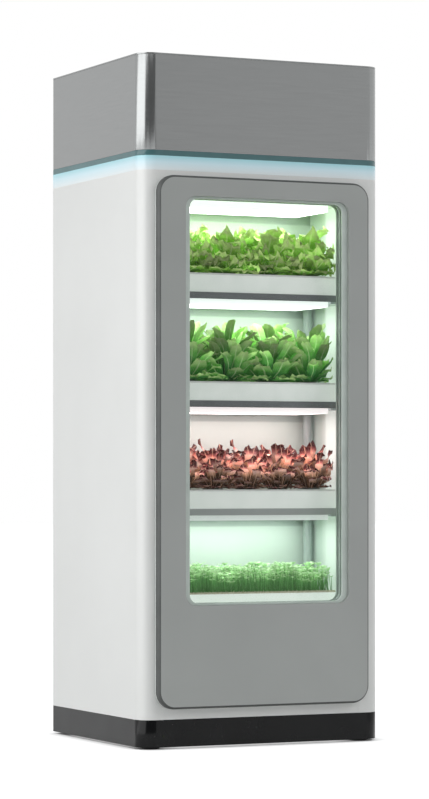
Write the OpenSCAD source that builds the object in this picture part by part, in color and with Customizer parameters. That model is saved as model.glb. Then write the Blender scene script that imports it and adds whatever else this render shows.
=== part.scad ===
// Hydroponic grow cabinet: an insulated cabinet on a plinth with a glazed door,
// four lit growing tiers, a nutrient tank below them and a service head on top.
// Millimetres, +Z up, front towards -Y, origin under the middle of the cabinet on the floor.

/* [Cabinet] */
// Width across the side panels
cab_w = 600; // [580:5:640]
// Depth of the carcass behind the door
cab_d = 508; // [490:2:560]
// Height from the floor to the top of the head
cab_h = 1540; // [1520:5:1620]
// Radius of the two rounded front corners
corner_r = 36; // [28:1:38]
// Thickness of the insulated side walls
wall_t = 57; // [54:1:62]
// Thickness of the painted sheet skins
skin_t = 2; // [1.5:0.5:3]

/* [Plinth] */
// Height of the plinth, feet included
plinth_h = 65; // [58:1:80]
// Wall of the plinth frame
plinth_t = 12; // [8:1:16]
// Clear height under the plinth frame
plinth_lift = 4; // [3:1:6]
// Radius of each foot pad
foot_r = 20; // [16:1:24]
// Height of each foot pad
foot_h = 12; // [8:1:18]

/* [Head and light band] */
// Height of the service head
head_h = 215; // [205:1:240]
// Sheet thickness of the head
head_t = 3; // [2:0.5:4]
// Height of the dark trim line under the head
trim_h = 12; // [8:1:16]
// Height of the glowing diffuser band
band_h = 32; // [26:1:36]
// Width of the band and trim rings
ring_w = 14; // [10:1:15]

/* [Door] */
// How far the door stands out in front of the carcass
door_proud = 26; // [24:1:32]
// How far the door covers the frame round its opening
door_lap = 14; // [12:1:15]
// How far the door covers the frame on the latch side
latch_lap = 26; // [14:1:28]
// How far the door covers the sill under its opening
sill_lap = 9; // [8:1:14]
// Corner radius of the door
door_r = 40; // [30:1:50]
// Rounding of the front edge of the door
door_edge = 8; // [4:1:8]
// Width of the window opening in the door front
win_w = 408; // [370:2:410]
// Offset of the window towards the hinges
win_shift = 0; // [0:1:8]
// Distance from the top of the door to the window
win_top = 45; // [38:1:70]
// Distance from the bottom of the door to the window
win_bottom = 228; // [200:1:260]
// Corner radius of the window
win_r = 26; // [20:1:30]
// Thickness of each glass pane
glass_t = 4; // [3:1:5]
// Radius of the hinge pins
pin_r = 2; // [1.5:0.1:2.4]

/* [Growing tiers] */
// Clear depth of the growing chamber
chamber_d = 236; // [230:2:250]
// Height of the chamber floor above the carcass floor
bay_h = 185; // [184:1:200]
// Height of a growing tray with its board
tray_h = 48; // [42:1:48]
// Extra depth of the sowing tray in the bottom tier
sow_rise = 12; // [0:1:18]
// Wall of the growing trays
tray_t = 2.5; // [2:0.5:3]
// How far a tray lifts off its shelf
tray_lift = 12; // [8:1:12]
// Height of the lamp housings
lamp_h = 18; // [14:1:22]
// Share of the room over its board that the lettuce fills
lettuce_fill = 0.79; // [0.6:0.01:0.84]
// Share of the room over its board that the romaine fills
romaine_fill = 0.79; // [0.6:0.01:0.84]
// Share of the room over its board that the red lettuce fills
red_fill = 0.68; // [0.5:0.01:0.84]
// Share of the room over their mat that the microgreens fill
micro_fill = 0.4; // [0.2:0.01:0.5]

/* [Water] */
// Height of the nutrient tank without its lid
tank_h = 115; // [100:1:118]
// Wall of the nutrient tank
tank_t = 3; // [2.5:0.5:4]
// Outside radius of the feed riser
riser_r = 10.5; // [9:0.5:11]
// Outside radius of the drain hose tail
tail_r = 8; // [6:0.5:8.5]

/* [Hidden] */
$fn = 64;
// Depth over the door and the carcass, and the planes that follow from it
overall_d = cab_d + door_proud;
y_door = -overall_d / 2;
y_front = y_door + door_proud;
y_rear = overall_d / 2;
// Heights of the main stack
base_t = 33;
roof_t = 26;
z_base = plinth_h + base_t;
z_head = cab_h - head_h;
z_trim = z_head - trim_h;
z_band = z_trim - band_h;
z_roof = z_band - roof_t;
lid_t = 3;
// Inside of the carcass and of the chamber
liner_t = 3;
inner_x = cab_w / 2 - wall_t;
chamber_x = inner_x - liner_t;
rear_recess = 36;
back_t = 14;
// The door plug enters the opening this far, and the liner starts behind it
plug_d = 12;
liner_setback = plug_d + 3;
floor_t = 12;
floor_z = z_base + bay_h;
ceiling_drop = 30;
ceiling_t = 4;
ceiling_z = z_roof - ceiling_drop;
tier_pitch = (z_roof - floor_z) / 4;
// Trays, shelves and lamps
side_gap = 34;
tray_x = chamber_x - side_gap;
tray_y0 = 44;
tray_y1 = chamber_d - 12;
tray_mid = (tray_y0 + tray_y1) / 2;
board_t = 4;
shelf_t = 4;
stop_h = 5;
stop_drop = 10;
stop_y0 = tray_y0 - 4.3;
shelf_x = tray_x + 2;
lamp_x = tray_x - 16;
lamp_y0 = tray_y0 + 6;
lamp_y1 = chamber_d - 28;
glow_t = 3;
// Clear height between a board and the lamp over it, and the plants in it
tier_room = tier_pitch - shelf_t - lamp_h - tray_h;
top_room = ceiling_z - lamp_h - tray_h - floor_z - 3 * tier_pitch;
lettuce_h = lettuce_fill * top_room;
romaine_h = romaine_fill * tier_room;
red_h = red_fill * tier_room;
micro_h = micro_fill * (tier_room - sow_rise);
// The boards stop short of the back of the tray and leave a feed gutter
gutter = 12;
row_off = (tray_y1 - tray_y0) * 0.233;
pot_r = 20;
pot_lip = 2;
pot_deep = 30;
nozzle_x = -tray_x * 0.7;
nozzle_z = 16;
nozzle_r = 6;
// Feed riser and drain stack
riser_x = chamber_x - 17;
riser_y = chamber_d - 20;
spout_x = tray_x - 12;
drain_y = chamber_d + liner_t + 22;
drain_r = 11;
drain_dip = 30;
fit_gap = 0.3;
// Tank, pump and float
tank_x = inner_x - 4;
tank_y0 = 40;
tank_y1 = cab_d - rear_recess - back_t - 48;
tank_lid_t = 5;
tank_top = z_base + tank_h;
pump_z = z_base + tank_t;
pump_h = 58;
float_x = -tank_x * 0.72;
float_y = 150;
float_travel = 50;
flap_l = 38;
flap_w = 66;
flap_axis_y = tank_y0 + 56;
flap_axis_z = tank_top + tank_lid_t + 5;
valve_x = -cab_w / 6;
valve_z = z_base + 24;
// Door planes measured from the carcass front
door_x = inner_x + door_lap;
door_half = inner_x + (door_lap + latch_lap) / 2;
door_mid = (door_lap - latch_lap) / 2;
door_z0 = z_base - sill_lap;
door_z1 = z_roof + door_lap;
door_skin = 3;
door_back = -8;
door_plate = 3;
// Hinge axis, just outside the edge of the door
knuckle_r = 4;
knuckle_h = 18;
pivot_x = door_x + knuckle_r + 0.5;
pivot_y = -7;
pin_gap = 0.15;
hinge_zs = [door_z0 + 130, (door_z0 + door_z1) / 2, door_z1 - 130];
win_z0 = door_z0 + win_bottom;
win_z1 = door_z1 - win_top;
outer_glass = -door_proud + 12;
inner_glass = door_back + 8;
// Head contents, set in from its two sides
fan_side = 120;
fan_deep = 25;
fan_x = cab_w / 2 - 160;
fan_z = z_head + 105;
inlet_x = -cab_w / 2 + 130;
inlet_z = z_head + 60;
driver_x = -cab_w / 2 + 70;
driver_l = 170;
driver_w = 60;
driver_h = 38;
driver_y = 60;
driver_pitch = 80;
pcb_l = 150;
pcb_w = 100;
pcb_x = cab_w / 2 - 70 - pcb_l;
pcb_y = 60;
pcb_post = 12;

// Height of the tray seat in a tier, counted from the bottom
function level(i) = floor_z + i * tier_pitch;

// Height of the tray in a tier with its board or mat
function tray_top(i) = i == 0 ? tray_h + sow_rise : tray_h;

// Height of the feed spout in a tier, over its tray when that is lifted
function spout_z(i) = level(i) + tray_top(i) + tray_lift + 14;

// Across positions of a row of plants
function row_x(n, i) = (i - (n - 1) / 2) * 2 * tray_x / max(n, 4);

// A box given by its two corners, with y counted back from the carcass front
module slab(x0, x1, y0, y1, z0, z1) {
    translate([x0, y_front + y0, z0])
        cube([x1 - x0, y1 - y0, z1 - z0]);
}

// Flat outline of the cabinet, drawn in by a margin, with round front corners
module outline(inset) {
    r = corner_r - inset;
    x = cab_w / 2 - inset;
    translate([-x, y_front + inset + r])
        square([2 * x, cab_d - 2 * inset - r]);
    translate([-x + r, y_front + inset])
        square([2 * x - 2 * r, r + 1]);
    for (s = [-1, 1])
        translate([s * (x - r), y_front + inset + r])
            circle(r = r);
}

// Rounded rectangle standing in the XZ plane, drawn flat
module door_outline(x, z0, z1, r) {
    translate([-x + r, z0])
        square([2 * x - 2 * r, z1 - z0]);
    translate([-x, z0 + r])
        square([2 * x, z1 - z0 - 2 * r]);
    for (sx = [-1, 1])
        for (z = [z0 + r, z1 - r])
            translate([sx * (x - r), z])
                circle(r = r);
}

// A standing plate with that outline between two depths
module door_plate_at(x, z0, z1, r, y0, y1) {
    translate([0, y_front + y1, 0])
        rotate([90, 0, 0])
            linear_extrude(y1 - y0)
                door_outline(x, z0, z1, r);
}

// Plate shaped like the door, drawn in all round
module door_shape(in, y0, y1) {
    translate([door_mid, 0, 0])
        door_plate_at(door_half - in, door_z0 + in, door_z1 - in, door_r - in, y0, y1);
}

// Plate shaped like the window, drawn in at the sides and at the ends
module window_plate(side, ends, r, y0, y1) {
    translate([win_shift, 0, 0])
        door_plate_at(win_w / 2 - side, win_z0 + ends, win_z1 - ends, r, y0, y1);
}

// A round bar along Y
module bar_y(x, z, r, y0, y1) {
    translate([x, y_front + y0, z])
        rotate([-90, 0, 0])
            cylinder(r = r, h = y1 - y0);
}

// A round bar along X
module bar_x(y, z, r, x0, x1) {
    translate([x0, y_front + y, z])
        rotate([0, 90, 0])
            cylinder(r = r, h = x1 - x0);
}

// A round bar along Z
module bar_z(x, y, r, z0, z1) {
    translate([x, y_front + y, z0])
        cylinder(r = r, h = z1 - z0);
}

// Foot positions inside the plinth corners
module at_feet() {
    for (sx = [-1, 1])
        for (y = [plinth_t + 28, cab_d - plinth_t - 28])
            translate([sx * (cab_w / 2 - plinth_t - 28), y_front + y, 0])
                children();
}

// Black moulded frame under the cabinet, with a block for a foot in each corner
module plinth() {
    color("#1c1d1f")
    union() {
        difference() {
            translate([0, 0, plinth_lift])
                linear_extrude(plinth_h - plinth_lift)
                    outline(0);
            translate([0, 0, plinth_lift - 1])
                linear_extrude(plinth_h - plinth_lift + 2)
                    outline(plinth_t);
        }
        at_feet()
            translate([-28, -28, foot_h])
                cube([56, 56, plinth_h - foot_h]);
    }
}

// Rubber pads under the corner blocks
module foot_pads() {
    color("#101010")
    at_feet()
        cylinder(r = foot_r, h = foot_h);
}

// Floor of the carcass; its front edge is the sill under the door
module base_panel() {
    color("#e8ebec")
    slab(-inner_x, inner_x, 0, cab_d, plinth_h, z_base);
}

// Flat outline of the left wall
module wall_outline(inset) {
    intersection() {
        outline(inset);
        translate([-cab_w / 2 - 1, y_front - 1])
            square([wall_t + 1 - inset, cab_d + 2]);
    }
}

// Folded sheet box of one wall, open at its ends
module side_panel() {
    translate([0, 0, plinth_h])
        linear_extrude(z_band - plinth_h)
            difference() {
                wall_outline(0);
                wall_outline(skin_t);
            }
}

module left_side_panel() {
    color("#eef1f2")
    side_panel();
}

module right_side_panel() {
    color("#eef1f2")
    mirror([1, 0, 0])
        side_panel();
}

// Foam that fills both wall boxes
module wall_insulation() {
    color("#e6d9a8")
    for (m = [0, 1])
        mirror([m, 0, 0])
            translate([0, 0, plinth_h])
                linear_extrude(z_band - plinth_h)
                    wall_outline(skin_t);
}

// Rear panel with the drain outlet and two inserts for an anti-tip strap
module back_panel() {
    color("#dfe3e4")
    difference() {
        slab(-inner_x, inner_x, cab_d - rear_recess - back_t, cab_d - rear_recess, z_base, z_roof);
        bar_y(valve_x, valve_z, 9 + fit_gap, cab_d - rear_recess - back_t - 1, cab_d - rear_recess + 1);
        for (s = [-1, 1])
            bar_y(s * 150, z_roof - 60, 3, cab_d - rear_recess - 11, cab_d - rear_recess + 1);
    }
}

// Top of the carcass with the air outlet; its front edge is the header over the door
module roof_panel() {
    color("#e8ebec")
    difference() {
        slab(-inner_x, inner_x, 0, cab_d, z_roof, z_band);
        bar_z(0, chamber_d / 2, 50, z_roof - 1, z_band + 1);
    }
}

// Side linings of the chamber
module liner_sides() {
    color("#f4f7f6")
    for (m = [0, 1])
        mirror([m, 0, 0])
            slab(chamber_x, inner_x, liner_setback, chamber_d + liner_t, floor_z, z_roof);
}

// Back of the chamber, slotted for the tray drain nozzles
module liner_back() {
    color("#f4f7f6")
    difference() {
        slab(-chamber_x, chamber_x, chamber_d, chamber_d + liner_t, floor_z, z_roof);
        for (i = [0 : 3])
            slab(nozzle_x - nozzle_r - 2, nozzle_x + nozzle_r + 2, chamber_d - 1, chamber_d + liner_t + 1,
                level(i) + nozzle_z - nozzle_r - 2, level(i) + nozzle_z + nozzle_r + tray_lift + 2);
    }
}

// Ceiling of the chamber with a front upstand and a row of air slots
module liner_ceiling() {
    color("#f4f7f6")
    difference() {
        union() {
            slab(-chamber_x, chamber_x, liner_setback, chamber_d, ceiling_z, ceiling_z + ceiling_t);
            slab(-chamber_x, chamber_x, liner_setback, liner_setback + 4, ceiling_z, z_roof);
        }
        for (i = [-3 : 3])
            slab(i * 60 - 22, i * 60 + 22, chamber_d - 20, chamber_d - 12, ceiling_z - 1, ceiling_z + ceiling_t + 1);
    }
}

// Floor of the chamber over the tank bay, with a stop for the bottom tray
module chamber_floor() {
    color("#eef2f1")
    difference() {
        union() {
            slab(-inner_x, inner_x, liner_setback, chamber_d + liner_t, floor_z - floor_t, floor_z);
            slab(-shelf_x, shelf_x, stop_y0, stop_y0 + 4, floor_z - 1, floor_z + stop_h);
        }
        bar_z(riser_x, riser_y, riser_r + fit_gap, floor_z - floor_t - 1, floor_z + 1);
    }
}

// Bars on the chamber walls that carry the three shelves
module shelf_rails() {
    color("#b9bfc0")
    for (i = [1 : 3])
        for (m = [0, 1])
            mirror([m, 0, 0])
                slab(tray_x - 8, chamber_x, tray_y0 + 8, riser_y - riser_r - 4,
                    level(i) - shelf_t - 10, level(i) - shelf_t);
}

// Dark sheet shelves with a folded front edge that stops the tray
module shelves() {
    color("#6c7172")
    for (i = [1 : 3])
        union() {
            slab(-shelf_x, shelf_x, stop_y0, chamber_d, level(i) - shelf_t, level(i));
            slab(-shelf_x, shelf_x, stop_y0, stop_y0 + 4, level(i) - stop_drop, level(i) + stop_h);
        }
}

// Underside of the piece that a lamp hangs from
function lamp_top(i) = i < 3 ? level(i + 1) - shelf_t : ceiling_z;

// Channel-shaped lamp housings under the shelves and the ceiling
module lamp_housings() {
    color("#f2f5f4")
    for (i = [0 : 3])
        difference() {
            slab(-lamp_x, lamp_x, lamp_y0, lamp_y1, lamp_top(i) - lamp_h, lamp_top(i));
            slab(-lamp_x + 4, lamp_x - 4, lamp_y0 + 4, lamp_y1 - 4, lamp_top(i) - lamp_h - 1, lamp_top(i) - 5);
        }
}

// Opal covers that close the lamp housings
module lamp_diffusers() {
    color("#ffffff")
    for (i = [0 : 3])
        slab(-lamp_x + 4, lamp_x - 4, lamp_y0 + 4, lamp_y1 - 4, lamp_top(i) - lamp_h, lamp_top(i) - lamp_h + glow_t);
}

// Open growing tray with a drain nozzle at the back, closed at its end and open underneath
module tray(i) {
    z0 = level(i);
    wall_z = z0 + tray_top(i) - board_t;
    difference() {
        union() {
            slab(-tray_x, tray_x, tray_y0, tray_y1, z0, wall_z);
            bar_y(nozzle_x, z0 + nozzle_z, nozzle_r, tray_y1 - 1, chamber_d + liner_t + 8);
        }
        slab(-tray_x + tray_t, tray_x - tray_t, tray_y0 + tray_t, tray_y1 - tray_t, z0 + tray_t, wall_z + 1);
        bar_y(nozzle_x, z0 + nozzle_z, nozzle_r - 1.5, tray_y1 - tray_t - 1, chamber_d + liner_t + 6.5);
        bar_z(nozzle_x, chamber_d + liner_t + 4.3, 2, z0 + nozzle_z - nozzle_r - 1, z0 + nozzle_z);
    }
}

module top_tray() {
    color("#f6f8f7")
    tray(3);
}

module upper_tray() {
    color("#f6f8f7")
    tray(2);
}

module lower_tray() {
    color("#f6f8f7")
    tray(1);
}

module bottom_tray() {
    color("#f6f8f7")
    tray(0);
}

// Places for plants: a front row of n and a back row of one fewer
module at_plants(i, n) {
    z0 = level(i) + tray_h;
    for (k = [0 : n - 1])
        translate([row_x(n, k), y_front + tray_mid - row_off, z0])
            rotate([0, 0, 37 * k])
                children();
    for (k = [0 : n - 2])
        translate([row_x(n, k) + (row_x(n, 1) - row_x(n, 0)) / 2, y_front + tray_mid + row_off, z0])
            rotate([0, 0, 37 * k + 20])
                children();
}

// Board on the tray rim, bored for the net pots
module board(i, n) {
    z0 = level(i) + tray_h - board_t;
    difference() {
        slab(-tray_x, tray_x, tray_y0, tray_y1 - gutter, z0, z0 + board_t);
        at_plants(i, n)
            translate([0, 0, -board_t - 1])
                cylinder(r = pot_r + fit_gap, h = board_t + 2);
    }
}

module top_board() {
    color("#eff2f1")
    board(3, 4);
}

module upper_board() {
    color("#eff2f1")
    board(2, 4);
}

module lower_board() {
    color("#eff2f1")
    board(1, 5);
}

// Net pots hanging by their rims in the board
module pots(i, n) {
    at_plants(i, n)
        difference() {
            union() {
                cylinder(r = pot_r + 3, h = pot_lip);
                translate([0, 0, -pot_deep])
                    cylinder(r1 = pot_r - 4, r2 = pot_r, h = pot_deep);
            }
            translate([0, 0, -pot_deep + 2])
                cylinder(r1 = pot_r - 5.5, r2 = pot_r - 1.5, h = pot_deep + 1);
        }
}

module top_pots() {
    color("#2b2f2e")
    pots(3, 4);
}

module upper_pots() {
    color("#2b2f2e")
    pots(2, 4);
}

module lower_pots() {
    color("#2b2f2e")
    pots(1, 5);
}

// Fibre mat on the rim of the bottom tray
module grow_mat() {
    color("#8a7a5c")
    slab(-tray_x, tray_x, tray_y0, tray_y1 - gutter, level(0) + tray_top(0) - board_t, level(0) + tray_top(0));
}

// One ring of a leafy head: n points at a height, swelling into lobes
function leaf_ring(z, r, amp, lobes, n) =
    [for (k = [0 : n - 1])
        let (a = 360 * k / n, f = 1 - amp * (1 - cos(lobes * a)) / 2)
            [r * f * cos(a), r * f * sin(a), z]];

// Leafy head as a stack of rings, each given as height, radius and lobe depth
module leaf_head(rings, lobes, n) {
    m = len(rings);
    pts = [for (g = rings) each leaf_ring(g[0], g[1], g[2], lobes, n)];
    sides = [for (j = [0 : m - 2]) for (k = [0 : n - 1]) each [
        [j * n + k, j * n + n + k, j * n + (k + 1) % n],
        [j * n + (k + 1) % n, j * n + n + k, j * n + n + (k + 1) % n]]];
    base = [[for (k = [0 : n - 1]) k]];
    cap = [[for (k = [n - 1 : -1 : 0]) (m - 1) * n + k]];
    polyhedron(points = pts, faces = concat(sides, base, cap));
}

// Root plug that sits on the floor of a net pot, shared by the leafy heads
plug_foot = [-pot_deep + 2 + 0.01, pot_r - 6, 0];
plug_neck = [pot_lip, pot_r - 2, 0];

// Broad frilly heads in the top tier
module lettuce() {
    color("#9fc85a")
    at_plants(3, 4)
        leaf_head([plug_foot, plug_neck, [lettuce_h * 0.2, 34, 0.2], [lettuce_h * 0.5, 47, 0.22],
            [lettuce_h * 0.8, 44, 0.3], [lettuce_h, 22, 0.3]], 6, 24);
}

// Tall upright heads in the upper tier
module romaine() {
    color("#4f9a3f")
    at_plants(2, 4)
        leaf_head([plug_foot, plug_neck, [romaine_h * 0.2, 20, 0.15], [romaine_h * 0.5, 38, 0.25],
            [romaine_h * 0.85, 46, 0.35], [romaine_h, 28, 0.4]], 5, 20);
}

// Red heads in the lower tier
module red_lettuce() {
    color("#8a3d33")
    at_plants(1, 5)
        leaf_head([plug_foot, plug_neck, [red_h * 0.25, 28, 0.2], [red_h * 0.55, 38, 0.25],
            [red_h * 0.85, 36, 0.3], [red_h, 17, 0.3]], 6, 24);
}

// Height of the microgreens over the mat at a step along a strip
function green_z(u, v) = micro_h * (0.82 + 0.09 * sin(u * 97 + v * 41) + 0.09 * sin(u * 211 - v * 133));

// Uneven carpet of short stems on the fibre mat, grown in strips from front to back
module microgreens() {
    nx = 26;
    ny = 6;
    w = 2 * (tray_x - 5);
    y0 = tray_y0 + 5;
    d = (riser_y - 10 - y0) / ny;
    color("#5fa04a")
    for (j = [0 : ny - 1])
        translate([-w / 2, y_front + y0 + (j + 1) * d, level(0) + tray_top(0)])
            rotate([90, 0, 0])
                linear_extrude(d + 1)
                    polygon(concat([[w, 0], [0, 0]], [for (i = [0 : nx]) [w * i / nx, green_z(i, j)]]));
}

// Open tank on the carcass floor, bored for the drain pipe
module nutrient_tank() {
    color("#c9d6da")
    difference() {
        slab(-tank_x, tank_x, tank_y0, tank_y1, z_base, tank_top);
        slab(-tank_x + tank_t, tank_x - tank_t, tank_y0 + tank_t, tank_y1 - tank_t, z_base + tank_t, tank_top + 1);
        bar_y(valve_x, valve_z, 9 + fit_gap, tank_y1 - tank_t - 1, tank_y1 + 1);
    }
}

// Tank lid with the filler mouth, hinge ears, pipe holes and the float stem
module tank_lid() {
    z0 = tank_top;
    z1 = z0 + tank_lid_t;
    color("#aebcc1")
    difference() {
        union() {
            slab(-tank_x, tank_x, tank_y0, tank_y1, z0, z1);
            for (s = [-1, 1])
                slab(s * (flap_w / 2 + 3) - 2.5, s * (flap_w / 2 + 3) + 2.5, flap_axis_y - 5, flap_axis_y + 5,
                    z1 - 1, flap_axis_z + 4);
            bar_z(float_x, float_y, 4, pump_z + 12, z0 + 1);
            bar_z(float_x, float_y, 7, pump_z + 9, pump_z + 12);
        }
        slab(-24, 24, flap_axis_y - flap_l + 5, flap_axis_y - 9, z0 - 1, z1 + 1);
        bar_x(flap_axis_y, flap_axis_z, 2 + pin_gap, -flap_w / 2 - 8, flap_w / 2 + 8);
        bar_z(riser_x, riser_y, riser_r + fit_gap, z0 - 1, z1 + 1);
        bar_z(nozzle_x, drain_y, drain_r + fit_gap, z0 - 1, z1 + 1);
    }
}

// Hinged cover of the filler mouth with its pin
module fill_flap() {
    z1 = tank_top + tank_lid_t;
    color("#e07a2f")
    union() {
        slab(-flap_w / 2, flap_w / 2, flap_axis_y - flap_l, flap_axis_y - 3, z1 + fit_gap, z1 + 4);
        slab(-flap_w / 2, flap_w / 2, flap_axis_y - 8, flap_axis_y, z1 + 2, z1 + 5);
        bar_x(flap_axis_y, flap_axis_z, 3.4, -flap_w / 2, flap_w / 2);
        bar_x(flap_axis_y, flap_axis_z, 2, -flap_w / 2 - 5, flap_w / 2 + 5);
    }
}

pump_x0 = riser_x - 44;
pump_x1 = riser_x + 12;
rotor_x = riser_x - 16;
rotor_z = pump_z + 28;

// Pump on the tank floor with an open volute and an outlet into the riser
module circulation_pump() {
    color("#2f3a42")
    difference() {
        union() {
            slab(pump_x0, pump_x1, riser_y - 34, riser_y + 34, pump_z, pump_z + pump_h);
            bar_z(riser_x, riser_y, riser_r - 2.3, pump_z + pump_h - 1, pump_z + pump_h + 22);
        }
        difference() {
            bar_y(rotor_x, rotor_z, 22, riser_y - 28, riser_y - 8);
            bar_y(rotor_x, rotor_z, 2, riser_y - 29, riser_y - 7);
        }
        bar_y(rotor_x, rotor_z, 9, riser_y - 35, riser_y - 30);
        difference() {
            bar_y(rotor_x, rotor_z, 9, riser_y - 30.1, riser_y - 27);
            bar_y(rotor_x, rotor_z, 3, riser_y - 31, riser_y - 26);
            slab(rotor_x - 10, rotor_x + 10, riser_y - 31, riser_y - 26, rotor_z - 2, rotor_z + 2);
        }
        bar_z(riser_x, riser_y, riser_r - 4.5, pump_z + pump_h - 8, pump_z + pump_h + 23);
        bar_z(rotor_x + 8, riser_y - 18, 4, rotor_z + 15, pump_z + pump_h - 3);
        slab(rotor_x + 4, riser_x + 3, riser_y - 22, riser_y + 3, pump_z + pump_h - 9, pump_z + pump_h - 3);
    }
}

// Bladed impeller on the fixed pump shaft
module pump_impeller() {
    color("#e6e1d2")
    difference() {
        union() {
            bar_y(rotor_x, rotor_z, 19, riser_y - 13, riser_y - 9);
            bar_y(rotor_x, rotor_z, 6, riser_y - 26, riser_y - 12);
            for (k = [0 : 4])
                translate([rotor_x, y_front + riser_y - 25, rotor_z])
                    rotate([0, 72 * k, 0])
                        translate([4, 0, -1])
                            cube([15, 13, 2]);
        }
        bar_y(rotor_x, rotor_z, 2 + pin_gap, riser_y - 29, riser_y - 7);
    }
}

// Float that rides on the stem under the tank lid, resting on its stop
module level_float() {
    color("#d9402f")
    difference() {
        bar_z(float_x, float_y, 14, pump_z + 12 + fit_gap, pump_z + 32);
        bar_z(float_x, float_y, 4 + fit_gap, pump_z + 11, pump_z + 33);
    }
}

// Feed pipe from the pump to a spout over each tray
module feed_riser() {
    z0 = pump_z + pump_h;
    z1 = spout_z(3) + riser_r;
    color("#a9b3b3")
    difference() {
        union() {
            bar_z(riser_x, riser_y, riser_r, z0, z1);
            for (i = [0 : 3]) {
                bar_x(riser_y, spout_z(i), 6, spout_x - 9, riser_x);
            }
        }
        bar_z(riser_x, riser_y, riser_r - 2, z0 - 1, z1 - 3);
        for (i = [0 : 3]) {
            bar_x(riser_y, spout_z(i), 4, spout_x - 5, riser_x);
            bar_z(spout_x, riser_y, 3, spout_z(i) - 7, spout_z(i));
        }
    }
}

// Return pipe behind the chamber with an open cup under each tray nozzle
module drain_stack() {
    z0 = tank_top - drain_dip;
    cup_x = nozzle_r + 10;
    y0 = chamber_d + liner_t;
    y1 = drain_y + drain_r + 4;
    color("#a9b3b3")
    difference() {
        union() {
            bar_z(nozzle_x, drain_y, drain_r, z0, level(3) - 4);
            for (i = [0 : 3])
                slab(nozzle_x - cup_x, nozzle_x + cup_x, y0, y1, level(i) - 14, level(i) + 4);
        }
        bar_z(nozzle_x, drain_y, drain_r - 2, z0 - 1, level(3) + 5);
        for (i = [0 : 3]) {
            difference() {
                slab(nozzle_x - cup_x + 2, nozzle_x + cup_x - 2, y0 + 2, y1 - 2, level(i) - 12, level(i) + 5);
                bar_z(nozzle_x, drain_y, drain_r, level(i) - 13, level(i) + 6);
            }
            bar_y(nozzle_x, level(i) - 7, 5, y0 + 3, drain_y);
        }
    }
}

valve_y = cab_d - rear_recess;

// Drain pipe, valve body and hose tail in the recess of the back panel
module drain_valve() {
    color("#c8a24a")
    difference() {
        union() {
            bar_y(valve_x, valve_z, 9, tank_y1 - tank_t - 8, valve_y + 1);
            slab(valve_x - 13, valve_x + 13, valve_y, valve_y + 14, valve_z - 13, valve_z + 13);
            bar_y(valve_x, valve_z, tail_r, valve_y + 13, valve_y + 34);
        }
        bar_y(valve_x, valve_z, 4.5, tank_y1 - tank_t - 9, valve_y + 35);
        bar_z(valve_x, valve_y + 7, 3 + pin_gap, valve_z + 6, valve_z + 14);
    }
}

// Quarter-turn lever of the drain valve
module drain_lever() {
    z0 = valve_z + 13 + fit_gap;
    color("#b5322a")
    union() {
        bar_z(valve_x, valve_y + 7, 3, valve_z + 6.5, z0 + 1);
        bar_z(valve_x, valve_y + 7, 6, z0, z0 + 6);
        slab(valve_x, valve_x + 26, valve_y + 4, valve_y + 10, z0, z0 + 6);
    }
}

// Chassis pan inside the light band that carries the electrics
module head_base() {
    color("#9aa0a2")
    difference() {
        translate([0, 0, z_band])
            linear_extrude(z_head - z_band)
                outline(ring_w);
        translate([0, 0, z_band + 3])
            linear_extrude(z_head - z_band)
                outline(ring_w + 3);
        bar_z(0, chamber_d / 2, 50, z_band - 1, z_band + 4);
    }
}

// Ring of the light band between two heights
module ring(z0, z1) {
    translate([0, 0, z0])
        linear_extrude(z1 - z0)
            difference() {
                outline(0);
                outline(ring_w);
            }
}

module band_diffuser() {
    color("#cfeaf2")
    ring(z_band, z_trim);
}

module band_trim() {
    color("#5f8f92")
    ring(z_trim, z_head);
}

// Wrap of the head round its sides and front
module head_shell() {
    color("#8d9092")
    translate([0, 0, z_head])
        linear_extrude(cab_h - lid_t - z_head)
            difference() {
                outline(0);
                outline(head_t);
                translate([-cab_w / 2 + head_t, y_rear - 20])
                    square([cab_w - 2 * head_t, 30]);
            }
}

// Flat top of the head
module head_lid() {
    color("#8d9092")
    translate([0, 0, cab_h - lid_t])
        linear_extrude(lid_t)
            outline(0);
}

panel_y = cab_d - 14;

// Rear closure of the head with the fan slots and the inlet cut-out
module head_rear_panel() {
    color("#7f8587")
    difference() {
        slab(-cab_w / 2 + head_t, cab_w / 2 - head_t, panel_y, panel_y + 2, z_head, cab_h - lid_t);
        for (k = [-4 : 4])
            slab(fan_x - sqrt(54 * 54 - 144 * k * k) + 3, fan_x + sqrt(54 * 54 - 144 * k * k) - 3,
                panel_y - 1, panel_y + 3, fan_z + 12 * k - 3, fan_z + 12 * k + 3);
        slab(inlet_x - 26, inlet_x + 26, panel_y - 1, panel_y + 3, inlet_z - 13, inlet_z + 13);
        for (sx = [-1, 1]) {
            bar_y(inlet_x + sx * 30, inlet_z, screw_r + pin_gap, panel_y - 1, panel_y + 3);
            for (sz = [-1, 1])
                bar_y(fan_x + sx * 52.5, fan_z + sz * 52.5, screw_r + pin_gap, panel_y - 1, panel_y + 3);
        }
    }
}

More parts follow.
